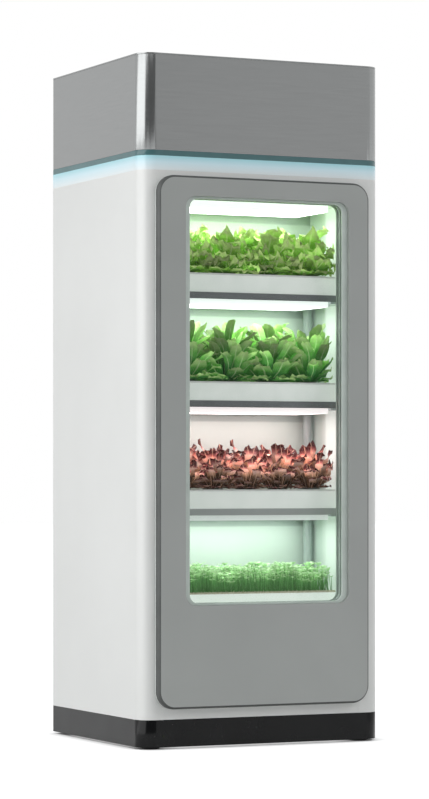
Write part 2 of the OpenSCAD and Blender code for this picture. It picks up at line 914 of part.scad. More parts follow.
// Square fan frame on the rear panel with its motor stub
module exhaust_fan() {
    y0 = panel_y - fan_deep;
    color("#26282a")
    difference() {
        union() {
            difference() {
                slab(fan_x - fan_side / 2, fan_x + fan_side / 2, y0, panel_y, fan_z - fan_side / 2, fan_z + fan_side / 2);
                bar_y(fan_x, fan_z, 57, y0 - 1, panel_y + 1);
            }
            bar_y(fan_x, fan_z, 20, panel_y - 5, panel_y);
            slab(fan_x - 58, fan_x + 58, panel_y - 4, panel_y, fan_z - 2.5, fan_z + 2.5);
            slab(fan_x - 2.5, fan_x + 2.5, panel_y - 4, panel_y, fan_z - 58, fan_z + 58);
            bar_y(fan_x, fan_z, 2.5, panel_y - 20, panel_y - 4);
        }
        for (sx = [-1, 1])
            for (sz = [-1, 1])
                bar_y(fan_x + sx * 52.5, fan_z + sz * 52.5, 2.2, y0 - 1, panel_y + 1);
    }
}

// Fan wheel on the motor stub
module fan_rotor() {
    color("#3a3d40")
    difference() {
        union() {
            bar_y(fan_x, fan_z, 20, panel_y - 22, panel_y - 6);
            for (k = [0 : 6])
                translate([fan_x, y_front + panel_y - 14, fan_z])
                    rotate([0, 360 / 7 * k, 0])
                        rotate([32, 0, 0])
                            translate([17, -1, -11])
                                cube([36, 2, 22]);
        }
        bar_y(fan_x, fan_z, 2.5 + pin_gap, panel_y - 20 - fit_gap, panel_y - 5);
    }
}

// Two finned lamp drivers on the chassis pan
module led_drivers() {
    z0 = z_band + 3;
    color("#b8bcbe")
    for (k = [0, 1])
        union() {
            y0 = driver_y + driver_pitch * k;
            slab(driver_x, driver_x + driver_l, y0, y0 + driver_w, z0, z0 + driver_h);
            for (j = [0 : 5]) {
                x0 = driver_x + driver_l * (j + 0.35) / 6;
                slab(x0, x0 + 8, y0, y0 + driver_w, z0 + driver_h - 1, z0 + driver_h + 6);
            }
        }
}

// A block on the control board, placed by shares of its length and width
module component(u0, u1, v0, v1, h) {
    z1 = z_band + 3 + pcb_post;
    slab(pcb_x + u0 * pcb_l, pcb_x + u1 * pcb_l, pcb_y + v0 * pcb_w, pcb_y + v1 * pcb_w, z1 + 1, z1 + h);
}

// Control board on four posts with its larger components
module control_board() {
    z1 = z_band + 3 + pcb_post;
    color("#1f6b45")
    union() {
        for (x = [pcb_x + 8, pcb_x + pcb_l - 8])
            for (y = [pcb_y + 8, pcb_y + pcb_w - 8])
                bar_z(x, y, 4, z_band + 3, z1 + 0.5);
        slab(pcb_x, pcb_x + pcb_l, pcb_y, pcb_y + pcb_w, z1, z1 + 2);
        component(0.1, 0.37, 0.15, 0.55, 20);
        component(0.47, 0.67, 0.2, 0.5, 6);
        component(0.77, 0.95, 0.2, 0.8, 14);
        for (u = [0.2, 0.37])
            bar_z(pcb_x + u * pcb_l, pcb_y + 0.78 * pcb_w, 8, z1 + 1, z1 + 22);
    }
}

rocker_x = inlet_x + 15;
rocker_y = panel_y - 1;

// Flanged mains inlet with three blades and the seat of the rocker
module power_inlet() {
    y0 = panel_y - 24;
    y1 = panel_y + 4;
    color("#17181a")
    union() {
        difference() {
            union() {
                slab(inlet_x - 26, inlet_x + 26, y0, panel_y + 2, inlet_z - 13, inlet_z + 13);
                slab(inlet_x - 34, inlet_x + 34, panel_y + 2, y1, inlet_z - 17, inlet_z + 17);
            }
            slab(inlet_x - 24, inlet_x + 3, panel_y - 14, y1 + 1, inlet_z - 9, inlet_z + 9);
            slab(rocker_x - 7, rocker_x + 7, panel_y - 14, y1 + 1, inlet_z - 11, inlet_z + 11);
            bar_x(rocker_y, inlet_z, 1.5 + pin_gap, rocker_x - 10, rocker_x + 10);
            for (sx = [-1, 1])
                bar_y(inlet_x + sx * 30, inlet_z, screw_r + pin_gap, panel_y, y1 + 1);
        }
        for (k = [-1 : 1])
            slab(inlet_x - 10.5 + 7 * k - 1, inlet_x - 10.5 + 7 * k + 1, panel_y - 15, panel_y - 1,
                inlet_z - 2 - 2 * abs(k), inlet_z + 2 - 2 * abs(k));
    }
}

// Two-way rocker on its cross pin, shown switched off
module power_rocker() {
    color("#8f1f1f")
    union() {
        translate([rocker_x - 6.5, y_front + rocker_y, inlet_z])
            rotate([10, 0, 0])
                rotate([90, 0, 90])
                    linear_extrude(13)
                        polygon([[-3.5, -6], [3, -9.4], [6.4, -9.2], [4.6, 0], [6.4, 9.2], [3, 9.4], [-3.5, 6]]);
        bar_x(rocker_y, inlet_z, 1.5, rocker_x - 9, rocker_x + 9);
    }
}

// Door slab with a rounded front edge
module door_slab() {
    hull() {
        for (a = [0 : 22.5 : 90]) {
            in = door_edge * (1 - sin(a));
            y = -door_proud + door_edge * (1 - cos(a));
            door_shape(in, y, y + 0.02, $fn = 48);
        }
        door_shape(0, door_back - 0.02, door_back, $fn = 48);
    }
}

// Pressed front of the door, hollow behind and open at the window
module door_front_panel() {
    d = door_skin;
    color("#8f9390")
    difference() {
        door_slab();
        difference() {
            door_shape(d, -door_proud + door_edge, door_back + 1);
            window_plate(-8, -8, win_r + 8, -door_proud, door_back);
        }
        window_plate(0, 0, win_r, -door_proud - 1, door_back + 1);
    }
}

// Inner plate of the door with the plug that enters the opening and the hinge knuckles
module door_inner_panel() {
    p = door_back + door_plate;
    px = chamber_x - 5;
    color("#e4e8e7")
    difference() {
        union() {
            door_shape(0, door_back, p);
            door_plate_at(px, z_base + 8, z_roof - 8, win_r + 4, p - 1, plug_d);
            for (z = hinge_zs)
                for (k = [-1, 1]) {
                    slab(door_x - 20, pivot_x, door_back, p, z + k * 21 - knuckle_h / 2, z + k * 21 + knuckle_h / 2);
                    bar_z(pivot_x, pivot_y, knuckle_r, z + k * 21 - knuckle_h / 2, z + k * 21 + knuckle_h / 2);
                }
        }
        window_plate(8, 2, win_r - 4, door_back - 1, plug_d + 1);
        for (z = hinge_zs)
            bar_z(pivot_x, pivot_y, pin_r + pin_gap, z - 32, z + 32);
    }
}

// Outer and inner glass, each held in the window edge
module window_panes() {
    color("#cfe6e0", 0.35)
    for (y = [outer_glass, inner_glass])
        window_plate(8, 2, win_r - 4, y, y + glass_t);
}

// Pale frame set back in the door front, rebated for the outer glass
module window_trim() {
    color("#a9b5af")
    difference() {
        window_plate(0, 0, win_r, outer_glass - 3, door_back);
        window_plate(14, 5, win_r - 6, outer_glass - 4, door_back + 1);
        window_plate(8, 2, win_r - 4, outer_glass, door_back + 1);
    }
}

// Seal between the door and the carcass, with the spacer between the panes and the bead behind them
module door_gasket() {
    o = door_lap - 4;
    p = door_back + door_plate;
    color("#8e9a94")
    union() {
        difference() {
            door_plate_at(inner_x + o, door_z0 + 4, z_roof + o, door_r - 4, p, -fit_gap);
            door_plate_at(inner_x - 3, z_base + 3, z_roof - 3, win_r + 6, p - 1, 0);
        }
        difference() {
            window_plate(8, 2, win_r - 4, outer_glass + glass_t, plug_d);
            window_plate(14, 5, win_r - 6, outer_glass, plug_d + 1);
            window_plate(8, 2, win_r - 4, inner_glass, inner_glass + glass_t);
        }
    }
}

// Cabinet leaves of the door hinges, each with its middle knuckle and fixed pin
module door_hinges() {
    color("#dfe3e4")
    for (z = hinge_zs)
        union() {
            slab(pivot_x - 2, pivot_x + 8, -2.5, 0, z - 30, z + 30);
            slab(pivot_x - 2, pivot_x + 2, pivot_y, 0, z - 11.6, z + 11.6);
            bar_z(pivot_x, pivot_y, knuckle_r, z - 11.6, z + 11.6);
            bar_z(pivot_x, pivot_y, pin_r, z - 29, z + 29);
        }
}

screw_r = 1.9;
screw_head_r = 3.2;
screw_head_h = 2.2;

// Slotted pan-head screw with its head outside the plane y, pointing inwards along the sign given
module screw(x, z, y, inward, length) {
    translate([x, y_front + y, z])
        rotate([inward > 0 ? -90 : 90, 0, 0])
            difference() {
                union() {
                    translate([0, 0, -screw_head_h])
                        cylinder(r = screw_head_r, h = screw_head_h);
                    translate([0, 0, -0.5])
                        cylinder(r = screw_r, h = length + 0.5);
                }
                translate([-screw_head_r - 1, -0.4, -screw_head_h - 1])
                    cube([2 * screw_head_r + 2, 0.8, 1.8]);
            }
}

// Screws of the fan and the mains inlet
module panel_screws() {
    color("#c6c9cb")
    union() {
        for (sx = [-1, 1])
            for (sz = [-1, 1])
                screw(fan_x + sx * 52.5, fan_z + sz * 52.5, panel_y + 2, -1, 16);
        for (sx = [-1, 1])
            screw(inlet_x + sx * 30, inlet_z, panel_y + 4, -1, 4);
    }
}

plinth();
foot_pads();
base_panel();
left_side_panel();
right_side_panel();
wall_insulation();
back_panel();
roof_panel();
liner_sides();
liner_back();
liner_ceiling();
chamber_floor();
shelf_rails();
shelves();
lamp_housings();
lamp_diffusers();
top_tray();
top_board();
top_pots();
lettuce();
upper_tray();
upper_board();
upper_pots();
romaine();
lower_tray();
lower_board();
lower_pots();
red_lettuce();
bottom_tray();
grow_mat();
microgreens();
nutrient_tank();
tank_lid();
fill_flap();
circulation_pump();
pump_impeller();
level_float();
feed_riser();
drain_stack();
drain_valve();
drain_lever();
head_base();
band_diffuser();
band_trim();
head_shell();
head_lid();
head_rear_panel();
exhaust_fan();
fan_rotor();
led_drivers();
control_board();
power_inlet();
power_rocker();
door_front_panel();
door_inner_panel();
window_panes();
window_trim();
door_gasket();
door_hinges();
panel_screws();
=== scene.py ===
import math
import random

import bmesh
import bpy
from mathutils import Matrix, Vector


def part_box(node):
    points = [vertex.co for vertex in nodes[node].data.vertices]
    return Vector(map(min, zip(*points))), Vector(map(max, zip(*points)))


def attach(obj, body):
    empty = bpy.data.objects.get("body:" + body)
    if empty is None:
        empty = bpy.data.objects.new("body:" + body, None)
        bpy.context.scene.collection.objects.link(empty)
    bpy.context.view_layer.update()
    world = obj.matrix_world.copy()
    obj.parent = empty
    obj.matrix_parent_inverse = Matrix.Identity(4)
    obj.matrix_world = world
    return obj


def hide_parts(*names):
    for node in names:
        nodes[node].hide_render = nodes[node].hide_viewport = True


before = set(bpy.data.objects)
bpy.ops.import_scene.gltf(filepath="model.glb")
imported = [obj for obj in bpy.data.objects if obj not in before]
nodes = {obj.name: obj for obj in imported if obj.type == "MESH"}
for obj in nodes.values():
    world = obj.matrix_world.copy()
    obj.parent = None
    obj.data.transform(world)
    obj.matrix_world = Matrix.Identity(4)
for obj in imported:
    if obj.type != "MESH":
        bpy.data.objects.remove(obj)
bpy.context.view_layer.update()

scene = bpy.context.scene

# The view: a level camera seven metres off, a little left of the front, with a long lens.
# The frame is shifted up so that the uprights stay upright while the whole cabinet fits.
view = bpy.data.cameras.new("view")
view.sensor_width = 36.0
view.lens = 137.51
view.shift_y = 0.0982
view_stand = bpy.data.objects.new("view", view)
view_stand.location = (-3.0501, -6.3785, 0.6)
view_stand.rotation_euler = (math.radians(90), 0, math.radians(-25.508))
scene.collection.objects.link(view_stand)
scene.camera = view_stand


# Plinth: one black moulded frame under the cabinet, with a block in each corner for a foot.
# Moulded ABS with a fine spark grain, a little scuffed.
def paint(code):
    """A colour written as six hex digits, in the light values that a shader takes."""
    parts = [int(code[i:i + 2], 16) / 255 for i in (0, 2, 4)]
    return tuple(c / 12.92 if c <= 0.04045 else ((c + 0.055) / 1.055) ** 2.4 for c in parts)


def shader_of(mat):
    """The main shader of a finish."""
    return mat.node_tree.nodes["Principled BSDF"]


def finish(name, colour, rough, metal=0.0):
    """A new finish with its even values on the shader's own sockets."""
    mat = bpy.data.materials.new(name)
    mat.use_nodes = True
    shader = shader_of(mat)
    shader.inputs["Base Color"].default_value = (*colour, 1)
    shader.inputs["Roughness"].default_value = rough
    shader.inputs["Metallic"].default_value = metal
    mat.diffuse_color = (*colour, 1)
    return mat


def put(mat, kind, **values):
    """A node in the finish, with its settings and its input values."""
    node = mat.node_tree.nodes.new(kind)
    for key, value in values.items():
        if key in node.inputs:
            node.inputs[key].default_value = value
        else:
            setattr(node, key, value)
    return node


def wire(mat, source, socket):
    """Gives an input what another node puts out, or else a number or a colour."""
    if isinstance(source, bpy.types.NodeSocket):
        mat.node_tree.links.new(source, socket)
    elif isinstance(source, tuple):
        socket.default_value = (*source, 1)
    else:
        socket.default_value = source


def feed(mat, name, source):
    """Wires an input of the main shader."""
    wire(mat, source, shader_of(mat).inputs[name])


def cloud(mat, scale, stretch=(1, 1, 1), detail=3.0):
    """Soft cloud pattern in the object's own metres, drawn out along an axis where asked."""
    where = put(mat, "ShaderNodeTexCoord")
    turn = put(mat, "ShaderNodeMapping", Scale=stretch)
    noise = put(mat, "ShaderNodeTexNoise", Scale=scale, Detail=detail, Roughness=0.55)
    wire(mat, where.outputs["Object"], turn.inputs["Vector"])
    wire(mat, turn.outputs["Vector"], noise.inputs["Vector"])
    return noise.outputs["Fac"]


def shade_by(mat, value, *stops):
    """Colour that follows a value through stops, each of them a place and a colour."""
    ramp = put(mat, "ShaderNodeValToRGB")
    steps = ramp.color_ramp.elements
    for place, _ in stops[1:-1]:
        steps.new(place)
    for step, (place, colour) in zip(steps, stops):
        step.position = place
        step.color = (*colour, 1)
    wire(mat, value, ramp.inputs["Fac"])
    return ramp.outputs["Color"]


def span(mat, value, start, stop, low, high, soft=True):
    """Carries a value from one range over to another, with eased ends or in a straight line."""
    node = put(mat, "ShaderNodeMapRange", interpolation_type="SMOOTHSTEP" if soft else "LINEAR")
    for name, amount in (("From Min", start), ("From Max", stop), ("To Min", low), ("To Max", high)):
        node.inputs[name].default_value = amount
    wire(mat, value, node.inputs["Value"])
    return node.outputs["Result"]


def drift(mat, low, high, scale, stretch=(1, 1, 1)):
    """A number that drifts between two values with a fine cloud pattern."""
    cloud_low, cloud_high = 0.3, 0.7
    return span(mat, cloud(mat, scale, stretch, detail=4.0), cloud_low, cloud_high, low, high, soft=False)


def mottle(mat, low, high, scale, stretch=(1, 1, 1), detail=3.0):
    """Colour that drifts between two shades."""
    cloud_low, cloud_high = 0.34, 0.66
    tint = shade_by(mat, cloud(mat, scale, stretch, detail), (cloud_low, low), (cloud_high, high))
    feed(mat, "Base Color", tint)


def grain(mat, scale, depth, stretch=(1, 1, 1), strength=0.5):
    """Fine relief of a moulded, sprayed or brushed surface, its depth in metres."""
    bump = put(mat, "ShaderNodeBump", Strength=strength, Distance=depth)
    wire(mat, cloud(mat, scale, stretch, detail=2.0), bump.inputs["Height"])
    feed(mat, "Normal", bump.outputs["Normal"])


def rub(mat, low, high, scale, stretch=(1, 1, 1)):
    """Gloss that varies as a surface is handled and wiped."""
    feed(mat, "Roughness", drift(mat, low, high, scale, stretch))


def dress(mat, *names):
    """Gives a finish to pieces that keep their own shape."""
    for name in names:
        slots = nodes[name].data.materials
        slots.clear()
        slots.append(mat)


def ease(*names, width):
    """Breaks the sharp edges of pieces that keep their own shape."""
    for name in names:
        weld = nodes[name].modifiers.new("weld", "WELD")
        weld.merge_threshold = 1e-5
        edge = nodes[name].modifiers.new("edge", "BEVEL")
        edge.width = width
        edge.segments = 2
        edge.profile = 0.5
        edge.limit_method = "ANGLE"
        edge.angle_limit = math.radians(40)
        edge.harden_normals = True


black_moulding = finish("black_moulding", paint("0f1011"), rough=0.2)
mottle(black_moulding, paint("0b0c0d"), paint("131415"), scale=9.0)
grain(black_moulding, scale=1500.0, depth=0.0001, strength=0.25)
rub(black_moulding, low=0.14, high=0.26, scale=14.0)
feed(black_moulding, "Specular IOR Level", 0.18)
dress(black_moulding, "plinth")
ease("plinth", width=0.0015)

# Foot pads: four turned rubber discs pressed into the corner blocks of the plinth.
# Matte black rubber with a mould bloom.
pad_rubber = finish("pad_rubber", paint("121213"), rough=0.8)
mottle(pad_rubber, paint("0e0e0f"), paint("1a1a1b"), scale=60.0)
grain(pad_rubber, scale=900.0, depth=0.0003)
dress(pad_rubber, "foot_pads")

# Carcass: folded wall skins, floor, roof and back panel of powder-coated sheet, and the hinge leaves.
# White polyester powder with the faint orange peel of a sprayed and baked coat.
white_powder = finish("white_powder", paint("e2e3e1"), rough=0.32)
mottle(white_powder, paint("e0e1df"), paint("e4e5e3"), scale=3.0)
grain(white_powder, scale=420.0, depth=0.0001, strength=0.12)
rub(white_powder, low=0.3, high=0.37, scale=4.0)
pressed_parts = ("base_panel", "roof_panel", "back_panel", "door_hinges")
dress(white_powder, "left_side_panel", "right_side_panel", *pressed_parts)
ease(*pressed_parts, width=0.0006)

# Foam in the walls: rigid polyurethane poured between the folded skins, seen at their open ends.
# Pale yellow, with a fine cell structure.
wall_foam = finish("wall_foam", paint("e6d9a8"), rough=0.9)
mottle(wall_foam, paint("dccb90"), paint("efe5bd"), scale=160.0)
grain(wall_foam, scale=700.0, depth=0.0006)
dress(wall_foam, "wall_insulation")

# Lining of the growing chamber: ceiling and floor of white polystyrene sheet.
# Vacuum-formed and easy to wipe, so it is slightly glossy with a shallow ripple.
lining = finish("lining", paint("eef3ef"), rough=0.4)
mottle(lining, paint("eaf1ec"), paint("f2f6f3"), scale=4.0)
grain(lining, scale=60.0, depth=0.0004, strength=0.2)
rub(lining, low=0.32, high=0.5, scale=9.0)
dress(lining, "liner_ceiling", "chamber_floor")


# Side lining: the same sheet, standing against the walls behind the shelf rails.
# Its front part glows softly as painted light, standing in for the lamplight on it, least beside the
# seedlings under the lowest shelf.
# A greyer strip of painted shade runs down its rear edge.
def work_out(mat, operation, *terms):
    """A sum worked out in the finish; each term is a number or what another node puts out."""
    node = put(mat, "ShaderNodeMath", operation=operation)
    for socket, term in zip(node.inputs, terms):
        wire(mat, term, socket)
    return node.outputs["Value"]


def place_along(mat, axis):
    """Where a point of the piece lies along an axis, in metres."""
    where = put(mat, "ShaderNodeTexCoord")
    axes = put(mat, "ShaderNodeSeparateXYZ")
    wire(mat, where.outputs["Object"], axes.inputs["Vector"])
    return axes.outputs[axis]


def rise(mat, axis, start, stop, low=0.0, high=1.0):
    """Goes smoothly from one value to another between two places along an axis."""
    return span(mat, place_along(mat, axis), start, stop, low, high)


def lay_over(mat, share, under, over, way="MIX"):
    """One colour laid over another by a share, on the node's sockets for colours."""
    node = put(mat, "ShaderNodeMix", data_type="RGBA", blend_type=way)
    share_in, under_in, over_in, colour_out = 0, 6, 7, 2
    wire(mat, share, node.inputs[share_in])
    wire(mat, under, node.inputs[under_in])
    wire(mat, over, node.inputs[over_in])
    return node.outputs[colour_out]


def tinge(mat, share, colour, into="Base Color"):
    """Lays a second colour over the first where the share is high."""
    socket = shader_of(mat).inputs[into]
    first = socket.links[0].from_socket if socket.links else tuple(socket.default_value)[:3]
    wire(mat, lay_over(mat, share, first, colour), socket)


def light_up(mat, colour, strength):
    """Lets a finish give off light of its own."""
    feed(mat, "Emission Color", colour)
    feed(mat, "Emission Strength", strength)


shade_strip_wide, shade_strip_blend = 0.07, 0.012
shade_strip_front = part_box("liner_sides")[1].y - shade_strip_wide
painted_glow_fade = 0.02
painted_front_glow, painted_strip_glow = 0.41, 0.05
lowest_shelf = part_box("lower_tray")[0].z
painted_glow_fade_under, painted_glow_fade_over = 0.026, 0.014
painted_glow_seedling_share = 0.45
side_sheet = finish("side_sheet", paint("dae5df"), rough=0.4)
mottle(side_sheet, paint("d7e2dc"), paint("dde8e2"), scale=4.0)
# painted shade: the rear strip of the side sheet is tinted greyer
tinge(side_sheet, rise(side_sheet, "Y", shade_strip_front, shade_strip_front + shade_strip_blend), paint("cbd9d2"))
grain(side_sheet, scale=60.0, depth=0.0004, strength=0.2)
rub(side_sheet, low=0.32, high=0.5, scale=9.0)
# painted light: the sheet gives off light of its own, strong at the front, faint at the rear strip and under
# the lowest shelf
painted_glow_by_depth = rise(side_sheet, "Y", shade_strip_front - painted_glow_fade, shade_strip_front, painted_front_glow, painted_strip_glow)
painted_glow_tier_share = rise(side_sheet, "Z", lowest_shelf - painted_glow_fade_under, lowest_shelf + painted_glow_fade_over, painted_glow_seedling_share, 1.0)
light_up(side_sheet, (0.94, 1.0, 0.98), work_out(side_sheet, "MULTIPLY", painted_glow_by_depth, painted_glow_tier_share))
dress(side_sheet, "liner_sides")

# Back lining: the same sheet, with a greyer strip of painted shade across it just under each lamp.
# The strips lie a tier apart, the top one under the ceiling lamp and a little narrower.
tier_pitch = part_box("top_tray")[0].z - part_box("upper_tray")[0].z
lamp_tall = 0.018
lamp_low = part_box("lamp_diffusers")[0].z
next_lamp_low = lamp_low + tier_pitch
ceiling_lamp_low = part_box("lamp_housings")[1].z - lamp_tall
shade_strip_tall, top_shade_strip_tall, shade_strip_edge = 0.014, 0.012, 0.005
shade_strip_low = next_lamp_low - shade_strip_tall
top_shade_strip_low = ceiling_lamp_low - top_shade_strip_tall
back_sheet = finish("back_sheet", paint("d0dbd6"), rough=0.4)
mottle(back_sheet, paint("cdd8d3"), paint("d3ded9"), scale=4.0)
# painted shade: a greyer strip under each lamp, one a tier apart and one under the ceiling lamp
tier_place = work_out(back_sheet, "WRAP", place_along(back_sheet, "Z"), next_lamp_low, lamp_low)
tier_shade_strips = span(back_sheet, tier_place, shade_strip_low - shade_strip_edge, shade_strip_low, 0.0, 1.0)
top_shade_strip = rise(back_sheet, "Z", top_shade_strip_low - shade_strip_edge, top_shade_strip_low)
tinge(back_sheet, work_out(back_sheet, "MAXIMUM", tier_shade_strips, top_shade_strip), paint("b0bbb8"))
grain(back_sheet, scale=60.0, depth=0.0004, strength=0.2)
rub(back_sheet, low=0.32, high=0.5, scale=9.0)
dress(back_sheet, "liner_back")

# Shelf rails: bars of clear-anodised aluminium fixed to the side linings.
# The extrusion lines run front to back.
rail_anodised = finish("rail_anodised", paint("b9bfc0"), rough=0.38, metal=0.9)
mottle(rail_anodised, paint("aeb5b6"), paint("c6cbcc"), scale=40.0, stretch=(6, 0.4, 6))
grain(rail_anodised, scale=900.0, depth=0.00015, stretch=(1, 0.02, 1))
dress(rail_anodised, "shelf_rails")
ease("shelf_rails", width=0.0008)

# Shelves: folded steel sheet, the front edge turned up as a stop and down as a fascia.
# Grey powder coat with a fine texture; the lowest shelf is painted paler as painted light.
over_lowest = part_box("lower_tray")[1].z
painted_light_edge = 0.01
shelf_coat = finish("shelf_coat", paint("787d7e"), rough=0.45)
mottle(shelf_coat, paint("727778"), paint("7e8384"), scale=12.0)
# painted light: the coat is tinted paler on the lowest shelf
painted_light_shelf = rise(shelf_coat, "Z", over_lowest, over_lowest + painted_light_edge, 1.0, 0.0)
tinge(shelf_coat, painted_light_shelf, paint("b4bab7"))
grain(shelf_coat, scale=1300.0, depth=0.00025)
dress(shelf_coat, "shelves")
ease("shelves", width=0.0008)

# Lamps: channel housings of opal-white polycarbonate under each shelf, closed by an opal cover.
# Two rows of diodes behind each cover glow through it as soft bars.
# The channels glow with them, the lowest least.
lowest_glow, channel_glow = 0.3, 0.8
lamp_body = finish("lamp_body", paint("f2f6f4"), rough=0.35)
mottle(lamp_body, paint("eef4f1"), paint("f6f9f7"), scale=8.0)
grain(lamp_body, scale=300.0, depth=0.0002, strength=0.2)
lamp_share = rise(lamp_body, "Z", lowest_shelf, over_lowest, lowest_glow, channel_glow)
light_up(lamp_body, (0.9, 1.0, 0.95), lamp_share)


def warm_tier(mat):
    """The lamp over the red lettuce gives a rosier light than the others."""
    red_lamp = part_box("upper_tray")[0].z
    near, edge = 0.05, 0.01
    over = rise(mat, "Z", red_lamp - near - edge, red_lamp - near)
    under = rise(mat, "Z", red_lamp + near, red_lamp + near + edge, 1.0, 0.0)
    tinge(mat, work_out(mat, "MULTIPLY", over, under), (0.94, 0.84, 0.84), "Emission Color")


warm_tier(lamp_body)
dress(lamp_body, "lamp_housings")
cover_low, cover_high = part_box("lamp_diffusers")
row_half = (cover_high.y - cover_low.y) / 4
between_glow, row_glow = 3.3, 4.8
lamp_glow = finish("lamp_glow", paint("ffffff"), rough=0.3)
lamp_rows = work_out(lamp_glow, "PINGPONG", place_along(lamp_glow, "Y"), row_half)
light_up(lamp_glow, (0.95, 1.0, 0.99), span(lamp_glow, lamp_rows, 0.0, row_half, between_glow, row_glow))
warm_tier(lamp_glow)
dress(lamp_glow, "lamp_diffusers")

# Growing trays: four vacuum-formed tubs of food-safe white polypropylene, on the shelves and the floor.
# Satin, with a soft sheen and a faint flow pattern from the forming.
# They glow a little as painted light, standing in for lamplight through the thin walls, most of all in the
# sowing tray at the bottom.
tray_names = ("top_tray", "upper_tray", "lower_tray", "bottom_tray")
sowing_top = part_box("bottom_tray")[1].z
painted_sowing_glow, painted_tray_glow = 0.4, 0.26
tray_plastic = finish("tray_plastic", paint("eef0ee"), rough=0.42)
mottle(tray_plastic, paint("e8ebe8"), paint("f3f4f2"), scale=16.0)
grain(tray_plastic, scale=500.0, depth=0.0002, strength=0.3)
rub(tray_plastic, low=0.34, high=0.5, scale=18.0)
# painted light: the tray plastic gives off light of its own, more in the sowing tray
painted_tray_glow_share = rise(tray_plastic, "Z", sowing_top, lowest_shelf, painted_sowing_glow, painted_tray_glow)
light_up(tray_plastic, (0.85, 1.0, 0.88), painted_tray_glow_share)
dress(tray_plastic, *tray_names)
ease(*tray_names, width=0.0008)

# Boards: sheets of white foamed polypropylene laid on the tray rims, bored for the net pots.
# Matte, with the skin of small closed cells.
board_foam = finish("board_foam", paint("edf1ed"), rough=0.6)
mottle(board_foam, paint("e6ebe6"), paint("f3f6f2"), scale=90.0)
grain(board_foam, scale=600.0, depth=0.0004, strength=0.4)
dress(board_foam, "top_board", "upper_board", "lower_board")

# Net pots: injection-moulded cups that hang by their rims in the boards.
# Black polypropylene, satin.
pot_plastic = finish("pot_plastic", paint("26292a"), rough=0.45)
mottle(pot_plastic, paint("1f2223"), paint("303334"), scale=70.0)
grain(pot_plastic, scale=900.0, depth=0.0002)
dress(pot_plastic, "top_pots", "upper_pots", "lower_pots")

# Fibre mat: a pad of felted jute under the seedlings, cut to the tray.
# Pale straw-coloured fibres lie across each other.
jute = finish("jute", paint("d8d0b8"), rough=0.9)
mottle(jute, paint("c6bc9e"), paint("e8e2ce"), scale=240.0, stretch=(1, 6, 1), detail=5.0)
grain(jute, scale=500.0, depth=0.0012, stretch=(5, 1, 1))
dress(jute, "grow_mat")

# Lettuce in the top tier: loose frilled heads, one in each net pot, of thin crisp leaves.
# Yellow-green towards the ruffled margin and pale at the rib, lighter towards the heart. The shades go dark
# at the stalk as painted shade and pale at the margin, partly as painted light; the leaves also glow a
# little as painted light.
random.seed(11)
full_turn = 6.283
leaf_spiral = 2.4
leaf_marks = ("along", "across", "tone")


def any_heading():
    """A heading by chance, in radians."""
    return random.uniform(0, 6.28)


def leaf_profile(s, waist, widest):
    """Share of the full width at a share of the length, narrow at the stalk and round at the tip."""
    tip_curve, tip_loss = 3.4, 0.86
    swell = min(1.0, s / widest)
    swell = swell * swell * (3 - 2 * swell)
    fall = max(0.0, (s - widest) / (1 - widest))
    return (waist + (1 - waist) * swell) * math.sqrt(max(0.0, 1 - fall ** tip_curve * tip_loss))


def grow_leaf(bm, base, heading, length, width, lean, bend, ruffle, waves, cup, tone, waist, widest,
              across=8, along=11, lobes=0.0):
    """One leaf as a sheet that leans out from the base, arches over and ruffles towards its edge."""
    low, side, shade = (bm.verts.layers.float[mark] for mark in leaf_marks)
    sheet = bmesh.ops.create_grid(bm, x_segments=across, y_segments=along, size=0.5)["verts"]
    shift = any_heading()
    out = Vector((math.cos(heading), math.sin(heading), 0))
    flank = Vector((-out.y, out.x, 0))
    tip_from, stalk_calm = 0.72, 2.2
    flank_lag = 2.1
    fine_share, fine_pace, fine_slant, fine_shift = 0.5, 2.7, 2.4, 1.7
    for v in sheet:
        s = v.co.y + 0.5
        t = v.co.x * 2
        tilt = lean + bend * s
        reach = length * (math.cos(lean) - math.cos(tilt)) / bend
        climb = length * (math.sin(tilt) - math.sin(lean)) / bend
        face = out * -math.cos(tilt) + Vector((0, 0, math.sin(tilt)))
        half = width * 0.5 * leaf_profile(s, waist, widest)
        edge = max(abs(t), (s - tip_from) / (1 - tip_from)) * min(1.0, s * stalk_calm)
        swing = waves * full_turn * s
        wave = math.sin(swing + shift + (flank_lag if t > 0 else 0))
        wave += fine_share * math.sin(fine_pace * swing + fine_slant * t + fine_shift * shift)
        half *= 1 + lobes * math.sin(swing + shift) * abs(t)
        lift = ruffle * width * edge ** 2 * wave + cup * half * t * t
        v.co = base + out * reach + Vector((0, 0, climb)) + flank * (t * half) + face * lift
        v[low] = s
        v[side] = t
        v[shade] = tone


def new_plants():
    """An empty mesh in the making, with the marks that the leaf finishes read."""
    bm = bmesh.new()
    for mark in leaf_marks:
        bm.verts.layers.float.new(mark)
    return bm


def new_piece(bm, name):
    """Turns a mesh in the making into a piece that stands in the scene."""
    mesh = bpy.data.meshes.new(name)
    bm.to_mesh(mesh)
    bm.free()
    piece = bpy.data.objects.new(name, mesh)
    scene.collection.objects.link(piece)
    return piece


def settle(bm, name, low, high):
    """Keeps the leaves inside the room that the plants hold: past its edge they bunch up softly."""
    give, softness = 0.006, 0.02
    for v in bm.verts:
        for i in range(3):
            if v.co[i] > high[i]:
                v.co[i] = high[i] + give * math.tanh((v.co[i] - high[i]) / softness)
            elif v.co[i] < low[i]:
                v.co[i] = low[i] - give * math.tanh((low[i] - v.co[i]) / softness)
    bmesh.ops.recalc_face_normals(bm, faces=bm.faces)
    for f in bm.faces:
        f.smooth = True
    return new_piece(bm, name)


def thicken(leaves):
    """Gives leaves their thickness."""
    wall = leaves.modifiers.new("leaf_wall", "SOLIDIFY")
    wall.thickness = 0.0006
    wall.offset = 0.0


def show(mat, surface):
    """Puts a shader of its own on the surface in place of the main one."""
    wire(mat, surface, mat.node_tree.nodes["Material Output"].inputs["Surface"])


